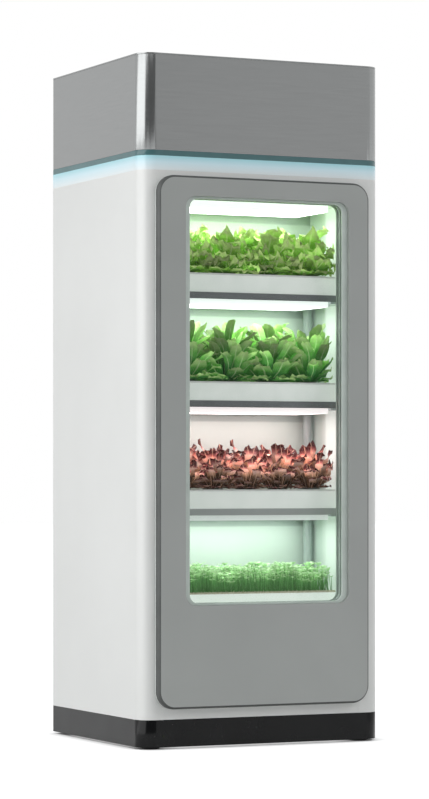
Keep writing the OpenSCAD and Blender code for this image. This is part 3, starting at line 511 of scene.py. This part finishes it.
def leaf_finish(name, shades, rib, vein_count, lift):
    """Leaf skin: shades from the stalk to the margin, a pale midrib, side veins and blotches, and a painted
    glow.
    """
    rib_half, rib_edge, rib_share = 0.03, 0.14, 0.75
    vein_slant, vein_from, vein_share = -0.45, 0.72, 0.3
    blotch_dark, blotch_light = 0.78, 1.18
    through_share = 0.3
    mat = finish(name, paint(shades[2][1]), rough=0.42)
    marks = [put(mat, "ShaderNodeAttribute", attribute_name=mark) for mark in leaf_marks]
    along, across, tone = (mark.outputs["Fac"] for mark in marks)
    blade = shade_by(mat, along, *[(place, paint(code)) for place, code in shades])
    aside = work_out(mat, "ABSOLUTE", across)
    midrib = span(mat, aside, rib_half, rib_edge, rib_share, 0.0)
    slant = work_out(mat, "MULTIPLY_ADD", aside, vein_slant, along)
    beat = work_out(mat, "SINE", work_out(mat, "MULTIPLY", slant, vein_count * full_turn))
    veins = span(mat, beat, vein_from, 1.0, 0.0, vein_share)
    ridges = work_out(mat, "MAXIMUM", midrib, veins)
    blotches = work_out(mat, "MULTIPLY", drift(mat, blotch_dark, blotch_light, scale=70.0), tone)
    skin = lay_over(mat, 1.0, lay_over(mat, ridges, blade, paint(rib)), blotches, way="MULTIPLY")
    feed(mat, "Base Color", skin)
    # painted light: the leaf skin gives off a little light of its own, as much as the lift it is given
    light_up(mat, skin, lift)
    feed(mat, "Specular IOR Level", 0.25)
    crisp = put(mat, "ShaderNodeBump", Strength=0.4, Distance=0.0012)
    wire(mat, ridges, crisp.inputs["Height"])
    feed(mat, "Normal", crisp.outputs["Normal"])
    through = put(mat, "ShaderNodeBsdfTranslucent")
    wire(mat, skin, through.inputs["Color"])
    both = put(mat, "ShaderNodeMixShader", Fac=through_share)
    wire(mat, shader_of(mat).outputs["BSDF"], both.inputs[1])
    wire(mat, through.outputs["BSDF"], both.inputs[2])
    show(mat, both.outputs["Shader"])
    return mat


def plant_rows(front_count, board):
    """Places of the net pots: a front row and a back row of one fewer, half a step along."""
    low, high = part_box(board)
    tray_depth = 0.18
    row_off = 0.233 * tray_depth
    rim_over = 0.003
    fewest_steps = 4
    step = (high.x - low.x) / max(front_count, fewest_steps)
    mid = low.y + tray_depth / 2
    places = []
    for count, y in ((front_count, mid - row_off), (front_count - 1, mid + row_off)):
        for k in range(count):
            places.append(Vector(((k - (count - 1) / 2) * step, y, high.z + rim_over)))
    return places


def round_stalk(place, heading, radius):
    """Foot of a leaf, a little out from the middle of the head."""
    return place + Vector((math.cos(heading), math.sin(heading), 0)) * radius


def ground_leaves(bm, place, count, length, width, tones):
    """Short leaves low round a head, every other one lying over the rim of its pot and the board."""
    for k in range(count):
        heading = full_turn * k / count + random.uniform(-0.3, 0.3)
        lean = random.uniform(1.25, 1.45) if k % 2 else random.uniform(0.7, 1.05)
        grow_leaf(bm, round_stalk(place, heading, radius=0.018), heading,
                  length=length * random.uniform(0.85, 1.15), width=width * random.uniform(0.85, 1.15),
                  lean=lean, bend=random.uniform(0.1, 0.4), ruffle=0.1, waves=2.4, cup=0.0,
                  tone=random.uniform(*tones), waist=0.55, widest=0.55, across=6, along=7)


lettuce_bm = new_plants()
lettuce_leaves = 34
for place in plant_rows(4, "top_board"):
    turn = any_heading()
    ground_leaves(lettuce_bm, place, count=14, length=0.062, width=0.046, tones=(0.55, 1.1))
    for k in range(lettuce_leaves):
        ring = k / (lettuce_leaves - 1)
        heading = turn + k * leaf_spiral
        grow_leaf(lettuce_bm, round_stalk(place, heading, radius=0.02 * (1 - ring)), heading,
                  length=random.uniform(0.08, 0.112) * (0.84 + 0.28 * ring),
                  width=random.uniform(0.034, 0.052), lean=0.06 + 0.9 * (1 - ring) ** 1.2,
                  bend=random.uniform(0.5, 1.3), ruffle=0.22, waves=3.4, cup=-0.1,
                  tone=random.uniform(0.3 + 0.5 * ring, 1.3), waist=0.42, widest=0.66, lobes=0.16)
lettuce = settle(lettuce_bm, "lettuce_leaves", *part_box("lettuce"))
thicken(lettuce)
# painted shade and light: the shades darken towards the stalk and pale towards the margin
lettuce_shades = ((0.0, "3a6a1c"), (0.3, "6fae38"), (0.65, "a0d858"), (0.97, "dcf4a4"))
lettuce_skin = leaf_finish("lettuce_skin", lettuce_shades, rib="dcefae", vein_count=7, lift=0.2)
lettuce.data.materials.append(lettuce_skin)
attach(lettuce, "top_tray_set")
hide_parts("lettuce")

# Romaine in the upper tier: upright heads of long spoon-shaped leaves round a tight heart.
# Mid green with a broad pale rib, painted lighter at the tips as painted light from the lamp near them and
# darker at the stalk as painted shade. The leaves also glow a little as painted light.
random.seed(23)
romaine_bm = new_plants()
romaine_leaves = 36
for place in plant_rows(4, "upper_board"):
    turn = any_heading()
    ground_leaves(romaine_bm, place, count=16, length=0.075, width=0.046, tones=(0.5, 1.0))
    for k in range(romaine_leaves):
        ring = k / (romaine_leaves - 1)
        heading = turn + k * leaf_spiral
        grow_leaf(romaine_bm, round_stalk(place, heading, radius=0.026 * (1 - ring)), heading,
                  length=random.uniform(0.11, 0.155) * (0.74 + 0.3 * ring),
                  width=random.uniform(0.022, 0.034), lean=0.04 + 0.52 * (1 - ring) ** 1.2,
                  bend=random.uniform(0.3, 1.2), ruffle=0.09, waves=2.4, cup=0.3,
                  tone=random.choice((0.45, 0.62, 0.84, 1.05, 1.3)), waist=0.45, widest=0.66)
romaine = settle(romaine_bm, "romaine_leaves", *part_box("romaine"))
thicken(romaine)
# painted shade and light: the shades darken towards the stalk and pale towards the tips
romaine_shades = ((0.0, "27602f"), (0.3, "3f9444"), (0.62, "6cbc52"), (0.95, "cdeea0"))
romaine_skin = leaf_finish("romaine_skin", romaine_shades, rib="cdeaae", vein_count=9, lift=0.22)
romaine.data.materials.append(romaine_skin)
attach(romaine, "upper_tray_set")
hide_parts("romaine")

# Red lettuce in the lower tier: oak-leaved heads, red where the lamp reaches them.
# Olive-brown at the stalk, darkened there as painted shade, salmon in the blade, dark red on the lobed tips.
# The low leaves round each head are painted darker as painted shade, and the leaves glow a little as painted
# light.
# At the rear the leaves keep clear of the spout that feeds the tray.
random.seed(37)
red_bm = new_plants()
red_leaves = 44
for place in plant_rows(5, "lower_board"):
    turn = any_heading()
    # painted shade: the low leaves round each head take darker tones
    ground_leaves(red_bm, place, count=20, length=0.052, width=0.02, tones=(0.25, 0.55))
    for k in range(red_leaves):
        ring = k / (red_leaves - 1)
        heading = turn + k * leaf_spiral
        grow_leaf(red_bm, round_stalk(place, heading, radius=0.028 * (1 - ring)), heading,
                  length=random.uniform(0.07, 0.108) * (0.86 + 0.24 * ring),
                  width=random.uniform(0.018, 0.027), lean=0.03 + 0.5 * (1 - ring) ** 1.2,
                  bend=random.uniform(0.4, 1.5), ruffle=0.2, waves=3.2, cup=-0.05,
                  tone=random.choice((0.6, 0.8, 1.05, 1.3, 1.55)), waist=0.28, widest=0.82,
                  across=4, along=12, lobes=0.14)
red_low, red_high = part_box("red_lettuce")
spout_room = Vector((0, 0.018, 0))
red_heads = settle(red_bm, "red_lettuce_leaves", red_low, red_high - spout_room)
thicken(red_heads)
# painted shade: the shades darken towards the stalk
red_shades = ((0.0, "2c1b0d"), (0.38, "543a26"), (0.54, "b89074"), (0.74, "f4cec0"), (0.83, "b86c6a"),
              (0.9, "561e26"))
red_skin = leaf_finish("red_skin", red_shades, rib="f0c4ac", vein_count=7, lift=0.38)
red_heads.data.materials.append(red_skin)
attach(red_heads, "lower_tray_set")
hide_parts("red_lettuce")

# Microgreens in the bottom tier: a thick sowing of seedlings that root in the fibre mat.
# Each is a thin stem with two small rounded seed leaves, paler than the stem. The stems are painted darker
# at the foot as painted shade, and the seedlings glow a little as painted light.
random.seed(51)
green_low, green_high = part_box("microgreens")


def seedling(height, spread):
    """A seedling of a given height, standing at the origin."""
    bm = new_plants()
    low = bm.verts.layers.float["along"]
    side = bm.verts.layers.float["across"]
    nod = 0.05 * height
    stem_end, blade_start = 0.35, 0.55
    blade_long, blade_half = 0.9 * spread, 0.42 * spread
    stem = bmesh.ops.create_cone(bm, cap_ends=False, segments=4, radius1=0.0009, radius2=0.0007,
                                 depth=height)["verts"]
    for v in stem:
        v.co.z += height / 2
        v.co.x += nod * (v.co.z / height) ** 2
        v[low] = stem_end * v.co.z / height
        v[side] = 0.5
    for way in (-1, 1):
        blade = bmesh.ops.create_grid(bm, x_segments=2, y_segments=3, size=0.5)["verts"]
        for v in blade:
            s = v.co.y + 0.5
            t = v.co.x * 2
            half = blade_half * math.sin(math.pi * min(0.97, 0.12 + 0.86 * s)) ** 0.7
            climb = spread * (0.75 * s - 0.35 * s * s) + 0.12 * spread * t * t
            v.co = Vector((nod + way * blade_long * (0.06 + s), t * half, height + climb))
            v[low] = blade_start + (1 - blade_start) * s
            v[side] = t
    mesh = bpy.data.meshes.new("seedling")
    bm.to_mesh(mesh)
    bm.free()
    return mesh


greens_bm = new_plants()
kinds = [seedling(0.03 + 0.005 * k, 0.0085 + 0.0006 * k) for k in range(6)]
room = green_high - green_low
rows, columns = 26, 64
for row in range(rows):
    for column in range(columns):
        one = random.choice(kinds).copy()
        x = green_low.x + room.x * (column + random.uniform(0.05, 0.95)) / columns
        y = green_low.y + room.y * (row + random.uniform(0.05, 0.95)) / rows
        tuft = 0.86 + 0.12 * math.sin(x * 61 + y * 23) + 0.1 * math.sin(x * 27 - y * 71)
        place = Matrix.Translation((x, y, green_low.z)) @ Matrix.Rotation(any_heading(), 4, "Z")
        tilt = Matrix.Rotation(random.uniform(-0.16, 0.16), 4, "X")
        one.transform(place @ tilt @ Matrix.Diagonal((1, 1, tuft, 1)))
        shade = random.uniform(0.7, 1.25)
        one.attributes["tone"].data.foreach_set("value", [shade] * len(one.vertices))
        greens_bm.from_mesh(one)
        bpy.data.meshes.remove(one)
for kind in kinds:
    bpy.data.meshes.remove(kind)
greens = settle(greens_bm, "microgreen_sowing", green_low, green_high)
# painted shade: the shades are darkest at the foot of the stem
green_shades = ((0.0, "55804f"), (0.35, "72a868"), (0.6, "8cbc7e"), (1.0, "c8deba"))
green_skin = leaf_finish("seedling_skin", green_shades, rib="b8dea0", vein_count=2, lift=0.5)
greens.data.materials.append(green_skin)
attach(greens, "bottom_tray_set")
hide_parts("microgreens")

# Nutrient tank and lid: rotary-moulded polyethylene under the chamber floor, lid dropped on.
# Milky blue-grey, waxy, with the soft ripple of the mould.
tank_wax = finish("tank_wax", paint("c9d6da"), rough=0.45)
mottle(tank_wax, paint("bfced3"), paint("d3dee1"), scale=10.0)
grain(tank_wax, scale=120.0, depth=0.0005, strength=0.3)
dress(tank_wax, "nutrient_tank")
lid_wax = finish("lid_wax", paint("aebcc1"), rough=0.45)
mottle(lid_wax, paint("a4b3b9"), paint("b8c5ca"), scale=12.0)
grain(lid_wax, scale=120.0, depth=0.0005, strength=0.3)
dress(lid_wax, "tank_lid")
ease("nutrient_tank", "tank_lid", width=0.0008)

# Filler cover: a hinged cover over the filler mouth, orange so that it is found at once.
# Injection-moulded polypropylene.
cover_orange = finish("cover_orange", paint("e07a2f"), rough=0.38)
mottle(cover_orange, paint("d97228"), paint("e6833a"), scale=40.0)
grain(cover_orange, scale=700.0, depth=0.0002)
dress(cover_orange, "fill_flap")
ease("fill_flap", width=0.0007)

# Pump with its impeller: a sealed motor block on the tank floor with an open volute.
# Dark moulded nylon, the wheel in natural acetal.
pump_nylon = finish("pump_nylon", paint("2f3a42"), rough=0.5)
mottle(pump_nylon, paint("28323a"), paint("38444c"), scale=50.0)
grain(pump_nylon, scale=800.0, depth=0.0003)
dress(pump_nylon, "circulation_pump")
ease("circulation_pump", width=0.0008)
wheel_acetal = finish("wheel_acetal", paint("e6e1d2"), rough=0.35)
mottle(wheel_acetal, paint("ddd7c5"), paint("ece8db"), scale=80.0)
grain(wheel_acetal, scale=900.0, depth=0.0001)
dress(wheel_acetal, "pump_impeller")

# Level float: a foamed nitrile ring on the stem under the lid.
# Signal red with a matte, slightly porous skin.
float_skin = finish("float_skin", paint("d9402f"), rough=0.6)
mottle(float_skin, paint("c93626"), paint("e04c3a"), scale=90.0)
grain(float_skin, scale=800.0, depth=0.0004)
dress(float_skin, "level_float")

# Feed riser and drain stack: pressure pipe, glued at its tees and cups.
# Grey PVC with the faint drag lines of extrusion along the pipe.
pipe_pvc = finish("pipe_pvc", paint("a9b3b3"), rough=0.4)
mottle(pipe_pvc, paint("9fa9a9"), paint("b3bcbc"), scale=30.0, stretch=(8, 8, 0.6))
grain(pipe_pvc, scale=900.0, depth=0.00015, stretch=(1, 1, 0.02))
dress(pipe_pvc, "feed_riser", "drain_stack")

# Drain valve with its lever: a brass ball valve through the back panel, hose tail to the rear.
# Turned brass, a red dipped lever.
valve_brass = finish("valve_brass", paint("c8a24a"), rough=0.3, metal=1.0)
mottle(valve_brass, paint("b8923c"), paint("d6b260"), scale=60.0)
rub(valve_brass, low=0.2, high=0.42, scale=70.0)
dress(valve_brass, "drain_valve")
ease("drain_valve", width=0.0006)
lever_dip = finish("lever_dip", paint("b5322a"), rough=0.42)
mottle(lever_dip, paint("a82b24"), paint("c03a31"), scale=60.0)
grain(lever_dip, scale=500.0, depth=0.0002)
dress(lever_dip, "drain_lever")
ease("drain_lever", width=0.0008)

# Chassis pan: folded galvanised sheet inside the light band, carrying the electrics.
# Zinc spangle in large dull crystals.
galvanised = finish("galvanised", paint("9aa0a2"), rough=0.42, metal=0.85)
spangle_place = put(galvanised, "ShaderNodeTexCoord")
spangle = put(galvanised, "ShaderNodeTexVoronoi", Scale=90.0)
wire(galvanised, spangle_place.outputs["Object"], spangle.inputs["Vector"])
spangle_stops = ((0.0, paint("868d90")), (1.0, paint("b0b6b8")))
feed(galvanised, "Base Color", shade_by(galvanised, spangle.outputs["Color"], *spangle_stops))
dress(galvanised, "head_base")

# Light band: an opal acrylic ring lit from inside, under a trim ring of dark teal acrylic.
# The glow is strongest under the trim and fades down into the white of the walls.
band_low, band_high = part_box("band_diffuser")
band_stops = ((0.0, paint("dfe6e8")), (0.55, paint("cbe4ec")), (1.0, paint("9fd3dc")))
band_opal = finish("band_opal", paint("cfe6ee"), rough=0.22)
band_height = span(band_opal, place_along(band_opal, "Z"), band_low.z, band_high.z, 0.0, 1.0, soft=False)
band_tint = shade_by(band_opal, band_height, *band_stops)
feed(band_opal, "Base Color", band_tint)
light_up(band_opal, band_tint, strength=0.1)
grain(band_opal, scale=300.0, depth=0.0001, strength=0.2)
dress(band_opal, "band_diffuser")
trim_acrylic = finish("trim_acrylic", paint("476e71"), rough=0.2)
mottle(trim_acrylic, paint("43696c"), paint("4b7376"), scale=14.0)
grain(trim_acrylic, scale=300.0, depth=0.0001, strength=0.2)
dress(trim_acrylic, "band_trim")
ease("band_trim", width=0.0006)

# Service head: a wrap of brushed stainless sheet with a flat lid of the same sheet let in on top.
# Horizontal brush marks under a thin lacquer; the rear closure is left duller.
brushed = finish("brushed", paint("949696"), rough=0.22, metal=1.0)
mottle(brushed, paint("929494"), paint("969898"), scale=55.0, stretch=(0.25, 0.25, 9))
grain(brushed, scale=900.0, depth=0.00003, stretch=(0.02, 0.02, 1), strength=0.12)
rub(brushed, low=0.2, high=0.25, scale=60.0, stretch=(0.2, 0.2, 8))
dress(brushed, "head_shell", "head_lid")
ease("head_shell", "head_lid", width=0.0009)
rear_steel = finish("rear_steel", paint("7f8587"), rough=0.45, metal=0.8)
mottle(rear_steel, paint("757b7d"), paint("8a9092"), scale=30.0, stretch=(0.4, 1, 5))
grain(rear_steel, scale=900.0, depth=0.00008, stretch=(0.04, 1, 1), strength=0.4)
dress(rear_steel, "head_rear_panel")
ease("head_rear_panel", width=0.0004)

# Exhaust fan and its wheel: a square axial fan screwed to the rear closure.
# Black glass-filled nylon, the wheel a shade lighter.
fan_nylon = finish("fan_nylon", paint("26282a"), rough=0.5)
mottle(fan_nylon, paint("202224"), paint("2d3032"), scale=60.0)
grain(fan_nylon, scale=900.0, depth=0.0003)
dress(fan_nylon, "exhaust_fan")
ease("exhaust_fan", width=0.0008)
wheel_nylon = finish("wheel_nylon", paint("3a3d40"), rough=0.42)
mottle(wheel_nylon, paint("333638"), paint("424548"), scale=60.0)
grain(wheel_nylon, scale=900.0, depth=0.0002)
dress(wheel_nylon, "fan_rotor")

# Lamp drivers: two finned aluminium cases screwed to the chassis pan.
# Bead-blasted and clear-anodised.
driver_case = finish("driver_case", paint("b8bcbe"), rough=0.45, metal=0.9)
mottle(driver_case, paint("aeb3b5"), paint("c2c6c8"), scale=60.0)
grain(driver_case, scale=1200.0, depth=0.0002)
dress(driver_case, "led_drivers")
ease("led_drivers", width=0.0006)

# Control board: a glass-fibre circuit board on four posts.
# Green solder mask with copper tracks just showing under it.
solder_mask = finish("solder_mask", paint("1f6b45"), rough=0.3)
track_place = put(solder_mask, "ShaderNodeTexCoord")
tracks = put(solder_mask, "ShaderNodeTexBrick", Scale=160.0)
for part, code in (("Color1", "1c6240"), ("Color2", "22724a"), ("Mortar", "5f8f4e")):
    wire(solder_mask, paint(code), tracks.inputs[part])
wire(solder_mask, track_place.outputs["Object"], tracks.inputs["Vector"])
feed(solder_mask, "Base Color", tracks.outputs["Color"])
dress(solder_mask, "control_board")

# Mains inlet and rocker switch: a flanged inlet with three blades and a two-way rocker.
# Black moulded housing, the rocker in dark red.
inlet_black = finish("inlet_black", paint("17181a"), rough=0.35)
mottle(inlet_black, paint("131416"), paint("1e1f22"), scale=90.0)
grain(inlet_black, scale=1200.0, depth=0.0002)
dress(inlet_black, "power_inlet")
ease("power_inlet", width=0.0005)
rocker_red = finish("rocker_red", paint("8f1f1f"), rough=0.3)
mottle(rocker_red, paint("851b1b"), paint("9a2626"), scale=90.0)
grain(rocker_red, scale=900.0, depth=0.0001)
dress(rocker_red, "power_rocker")
ease("power_rocker", width=0.0005)

# Screws: zinc-plated pan heads that hold the fan and the inlet.
# Bright plating, a little rubbed.
zinc = finish("zinc", paint("c6c9cb"), rough=0.25, metal=1.0)
mottle(zinc, paint("b6babc"), paint("d2d5d6"), scale=300.0)
rub(zinc, low=0.18, high=0.4, scale=400.0)
dress(zinc, "panel_screws")

# Door front: a pressed steel panel with round corners and a rolled edge, open at the window.
# Satin grey metallic enamel on the face, a darker anodised edge rolled round it.
door_low, door_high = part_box("door_front_panel")
trim_low, trim_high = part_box("window_trim")
door_radius = 0.04
window_radius = 0.026
edge_roll = 0.008
face_skin = 0.0005
hair = 1e-4
crease = math.radians(35)
door_bm = bmesh.new()


def lies_at(part, y):
    """Whether an edge or a face lies wholly in the standing plane at a depth."""
    return all(abs(v.co.y - y) < 1e-7 for v in part.verts)


def rounded_plate(bm, low, high, y, radius, steps):
    """A standing plate with round corners between two points; gives back its face."""
    outline = ((low.x, low.z), (high.x, low.z), (high.x, high.z), (low.x, high.z))
    corners = [bm.verts.new((x, y, z)) for x, z in outline]
    bm.faces.new(corners)
    bmesh.ops.bevel(bm, geom=corners, offset=radius, offset_type="OFFSET", segments=steps, profile=0.5,
                    affect="VERTICES", material=-1)
    return [f for f in bm.faces if lies_at(f, y)]


outer = rounded_plate(door_bm, door_low, door_high, door_high.y, door_radius, steps=14)
front = bmesh.ops.extrude_face_region(door_bm, geom=outer)["geom"]
front_verts = [g for g in front if isinstance(g, bmesh.types.BMVert)]
bmesh.ops.translate(door_bm, verts=front_verts, vec=(0, door_low.y - door_high.y, 0))
rim = [e for e in door_bm.edges if lies_at(e, door_low.y)]
bmesh.ops.bevel(door_bm, geom=rim, offset=edge_roll, offset_type="OFFSET", segments=8, profile=0.5,
                affect="EDGES", material=-1)
caps = [f for f in door_bm.faces if lies_at(f, door_low.y) or lies_at(f, door_high.y)]
bmesh.ops.delete(door_bm, geom=caps, context="FACES_ONLY")
for y in (door_low.y, door_high.y):
    window = rounded_plate(door_bm, trim_low, trim_high, y, window_radius, steps=10)
    bmesh.ops.delete(door_bm, geom=window, context="FACES_ONLY")
    flat = [e for e in door_bm.edges if lies_at(e, y)]
    bmesh.ops.triangle_fill(door_bm, use_beauty=True, use_dissolve=False, edges=flat)
hole = [e for e in door_bm.edges if e.is_boundary]
bmesh.ops.bridge_loops(door_bm, edges=hole)
bmesh.ops.recalc_face_normals(door_bm, faces=door_bm.faces)
for f in door_bm.faces:
    f.smooth = True
    middle = f.calc_center_median()
    in_window = all(trim_low[i] - hair < middle[i] < trim_high[i] + hair for i in (0, 2))
    f.material_index = 1 if middle.y > door_low.y + face_skin and not in_window else 0
for e in door_bm.edges:
    e.smooth = e.calc_face_angle(0.0) < crease
door_front = new_piece(door_bm, "door_front")
door_enamel = finish("door_enamel", paint("a0a3a1"), rough=0.42, metal=0.2)
mottle(door_enamel, paint("9ea19f"), paint("a2a5a3"), scale=4.0)
grain(door_enamel, scale=900.0, depth=0.00006, strength=0.15)
rub(door_enamel, low=0.4, high=0.46, scale=6.0)
door_rim = finish("door_rim", paint("545655"), rough=0.5, metal=0.2)
mottle(door_rim, paint("505251"), paint("595b5a"), scale=20.0)
grain(door_rim, scale=900.0, depth=0.0001, strength=0.2)
feed(door_rim, "Specular IOR Level", 0.25)
door_front.data.materials.append(door_enamel)
door_front.data.materials.append(door_rim)
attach(door_front, "door")
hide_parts("door_front_panel")

# Door inner panel: a vacuum-formed liner whose plug enters the opening, with the hinge knuckles.
# White polystyrene, satin.
door_liner = finish("door_liner", paint("dfe4e2"), rough=0.42)
mottle(door_liner, paint("d8dddb"), paint("e6eae8"), scale=8.0)
grain(door_liner, scale=90.0, depth=0.0004, strength=0.2)
dress(door_liner, "door_inner_panel")
ease("door_inner_panel", width=0.0008)

# Window: two panes of clear float glass in a pale frame, the inner one behind a rubber bead.
# The glass has the faint green of float glass; the frame is satin grey-green plastic.
pane_glass = finish("pane_glass", (0.02, 0.03, 0.025), rough=0.03)
feed(pane_glass, "Alpha", 0.035)
feed(pane_glass, "IOR", 1.5)
clean, smeared = 0.02, 0.07
smear = span(pane_glass, cloud(pane_glass, scale=5.0), 0.0, 1.0, clean, smeared, soft=False)
feed(pane_glass, "Roughness", smear)
dress(pane_glass, "window_panes")
frame_plastic = finish("frame_plastic", paint("c4cec8"), rough=0.36)
mottle(frame_plastic, paint("bec8c2"), paint("cad4ce"), scale=20.0)
grain(frame_plastic, scale=800.0, depth=0.0002)
dress(frame_plastic, "window_trim")
ease("window_trim", width=0.0006)

# Seals: a strip round the door, the spacer between the panes and the bead behind them.
# Extruded silicone rubber, grey-green and matte.
seal_rubber = finish("seal_rubber", paint("8e9a94"), rough=0.7)
mottle(seal_rubber, paint("87938d"), paint("959f9a"), scale=40.0)
grain(seal_rubber, scale=700.0, depth=0.0003)
dress(seal_rubber, "door_gasket")

# Studio: a white floor that runs to the horizon, a white surround, two soft boxes and three cards.
# The cards stand round the camera's side and are seen only in shiny surfaces.
floor_half = 30.0
floor_drop = 0.0005
floor_level = 0.68
floor_bm = bmesh.new()
bmesh.ops.create_grid(floor_bm, x_segments=1, y_segments=1, size=floor_half)
bmesh.ops.translate(floor_bm, verts=floor_bm.verts, vec=(0, 0, -floor_drop))
floor = new_piece(floor_bm, "floor")
floor_white = finish("floor_white", (0.75, 0.75, 0.75), rough=0.9)


def seen_plainly(owner):
    """One for a ray from the camera, off a shiny surface or through a pane, and nought for any other."""
    paths = put(owner, "ShaderNodeLightPath").outputs
    direct = work_out(owner, "MAXIMUM", paths["Is Camera Ray"], paths["Is Glossy Ray"])
    return work_out(owner, "MAXIMUM", direct, paths["Is Transmission Ray"])


floor_open = put(floor_white, "ShaderNodeAmbientOcclusion", samples=8, Distance=0.04)
floor_share = work_out(floor_white, "MULTIPLY", seen_plainly(floor_white), floor_open.outputs["AO"])
floor_glow = put(floor_white, "ShaderNodeEmission")
wire(floor_white, work_out(floor_white, "MULTIPLY", floor_share, floor_level), floor_glow.inputs["Strength"])
floor_sum = put(floor_white, "ShaderNodeAddShader")
wire(floor_white, shader_of(floor_white).outputs["BSDF"], floor_sum.inputs[0])
wire(floor_white, floor_glow.outputs["Emission"], floor_sum.inputs[1])
show(floor_white, floor_sum.outputs["Shader"])
floor.data.materials.append(floor_white)

surround = bpy.data.worlds.new("surround")
scene.world = surround
surround.use_nodes = True
surround.node_tree.nodes.clear()
sky_light = put(surround, "ShaderNodeBackground", Color=(0.97, 0.99, 1.0, 1), Strength=0.5)
sky_white = put(surround, "ShaderNodeBackground", Color=(1, 1, 1, 1), Strength=1.0)
sky_mix = put(surround, "ShaderNodeMixShader")
sky_out = put(surround, "ShaderNodeOutputWorld")
wire(surround, seen_plainly(surround), sky_mix.inputs["Fac"])
wire(surround, sky_light.outputs["Background"], sky_mix.inputs[1])
wire(surround, sky_white.outputs["Background"], sky_mix.inputs[2])
wire(surround, sky_mix.outputs["Shader"], sky_out.inputs["Surface"])


def soft_box(name, place, wide, tall, power):
    """A soft box on a stand, turned to face the middle of the cabinet."""
    cabinet_middle = Vector((0, 0, 0.8))
    lamp = bpy.data.lights.new(name, "AREA")
    lamp.shape = "RECTANGLE"
    lamp.size = wide
    lamp.size_y = tall
    lamp.energy = power
    stand = bpy.data.objects.new(name, lamp)
    stand.location = place
    stand.rotation_euler = (cabinet_middle - Vector(place)).to_track_quat("-Z", "Y").to_euler()
    stand.visible_glossy = False
    scene.collection.objects.link(stand)


soft_box("side_box", (-3.3, -0.8, 1.15), wide=1.6, tall=3.2, power=55.0)
soft_box("front_box", (3.2, -4.3, 3.6), wide=2.2, tall=2.2, power=52.0)


def card(name, start, stop, level):
    """A curved card round the cabinet; its ends are angles in degrees from -X round towards -Y."""
    away, tall = 6, 6
    bm = bmesh.new()
    bmesh.ops.create_grid(bm, x_segments=12, y_segments=1, size=0.5)
    for v in bm.verts:
        turn = math.radians(start + (stop - start) * (v.co.x + 0.5))
        v.co = (-away * math.cos(turn), -away * math.sin(turn), tall * (v.co.y + 0.5))
    sheet = new_piece(bm, name)
    cloth = finish(name, (0, 0, 0), rough=1.0)
    glow = put(cloth, "ShaderNodeEmission", Strength=level)
    show(cloth, glow.outputs["Emission"])
    sheet.data.materials.append(cloth)
    sheet.visible_camera = False
    sheet.visible_diffuse = False
    sheet.visible_shadow = False
    sheet.visible_transmission = False


card("bright_card", start=-30, stop=38, level=3.0)
card("dark_card", start=38, stop=104, level=0.22)
card("grey_card", start=104, stop=150, level=0.82)

scene.view_settings.view_transform = "Standard"
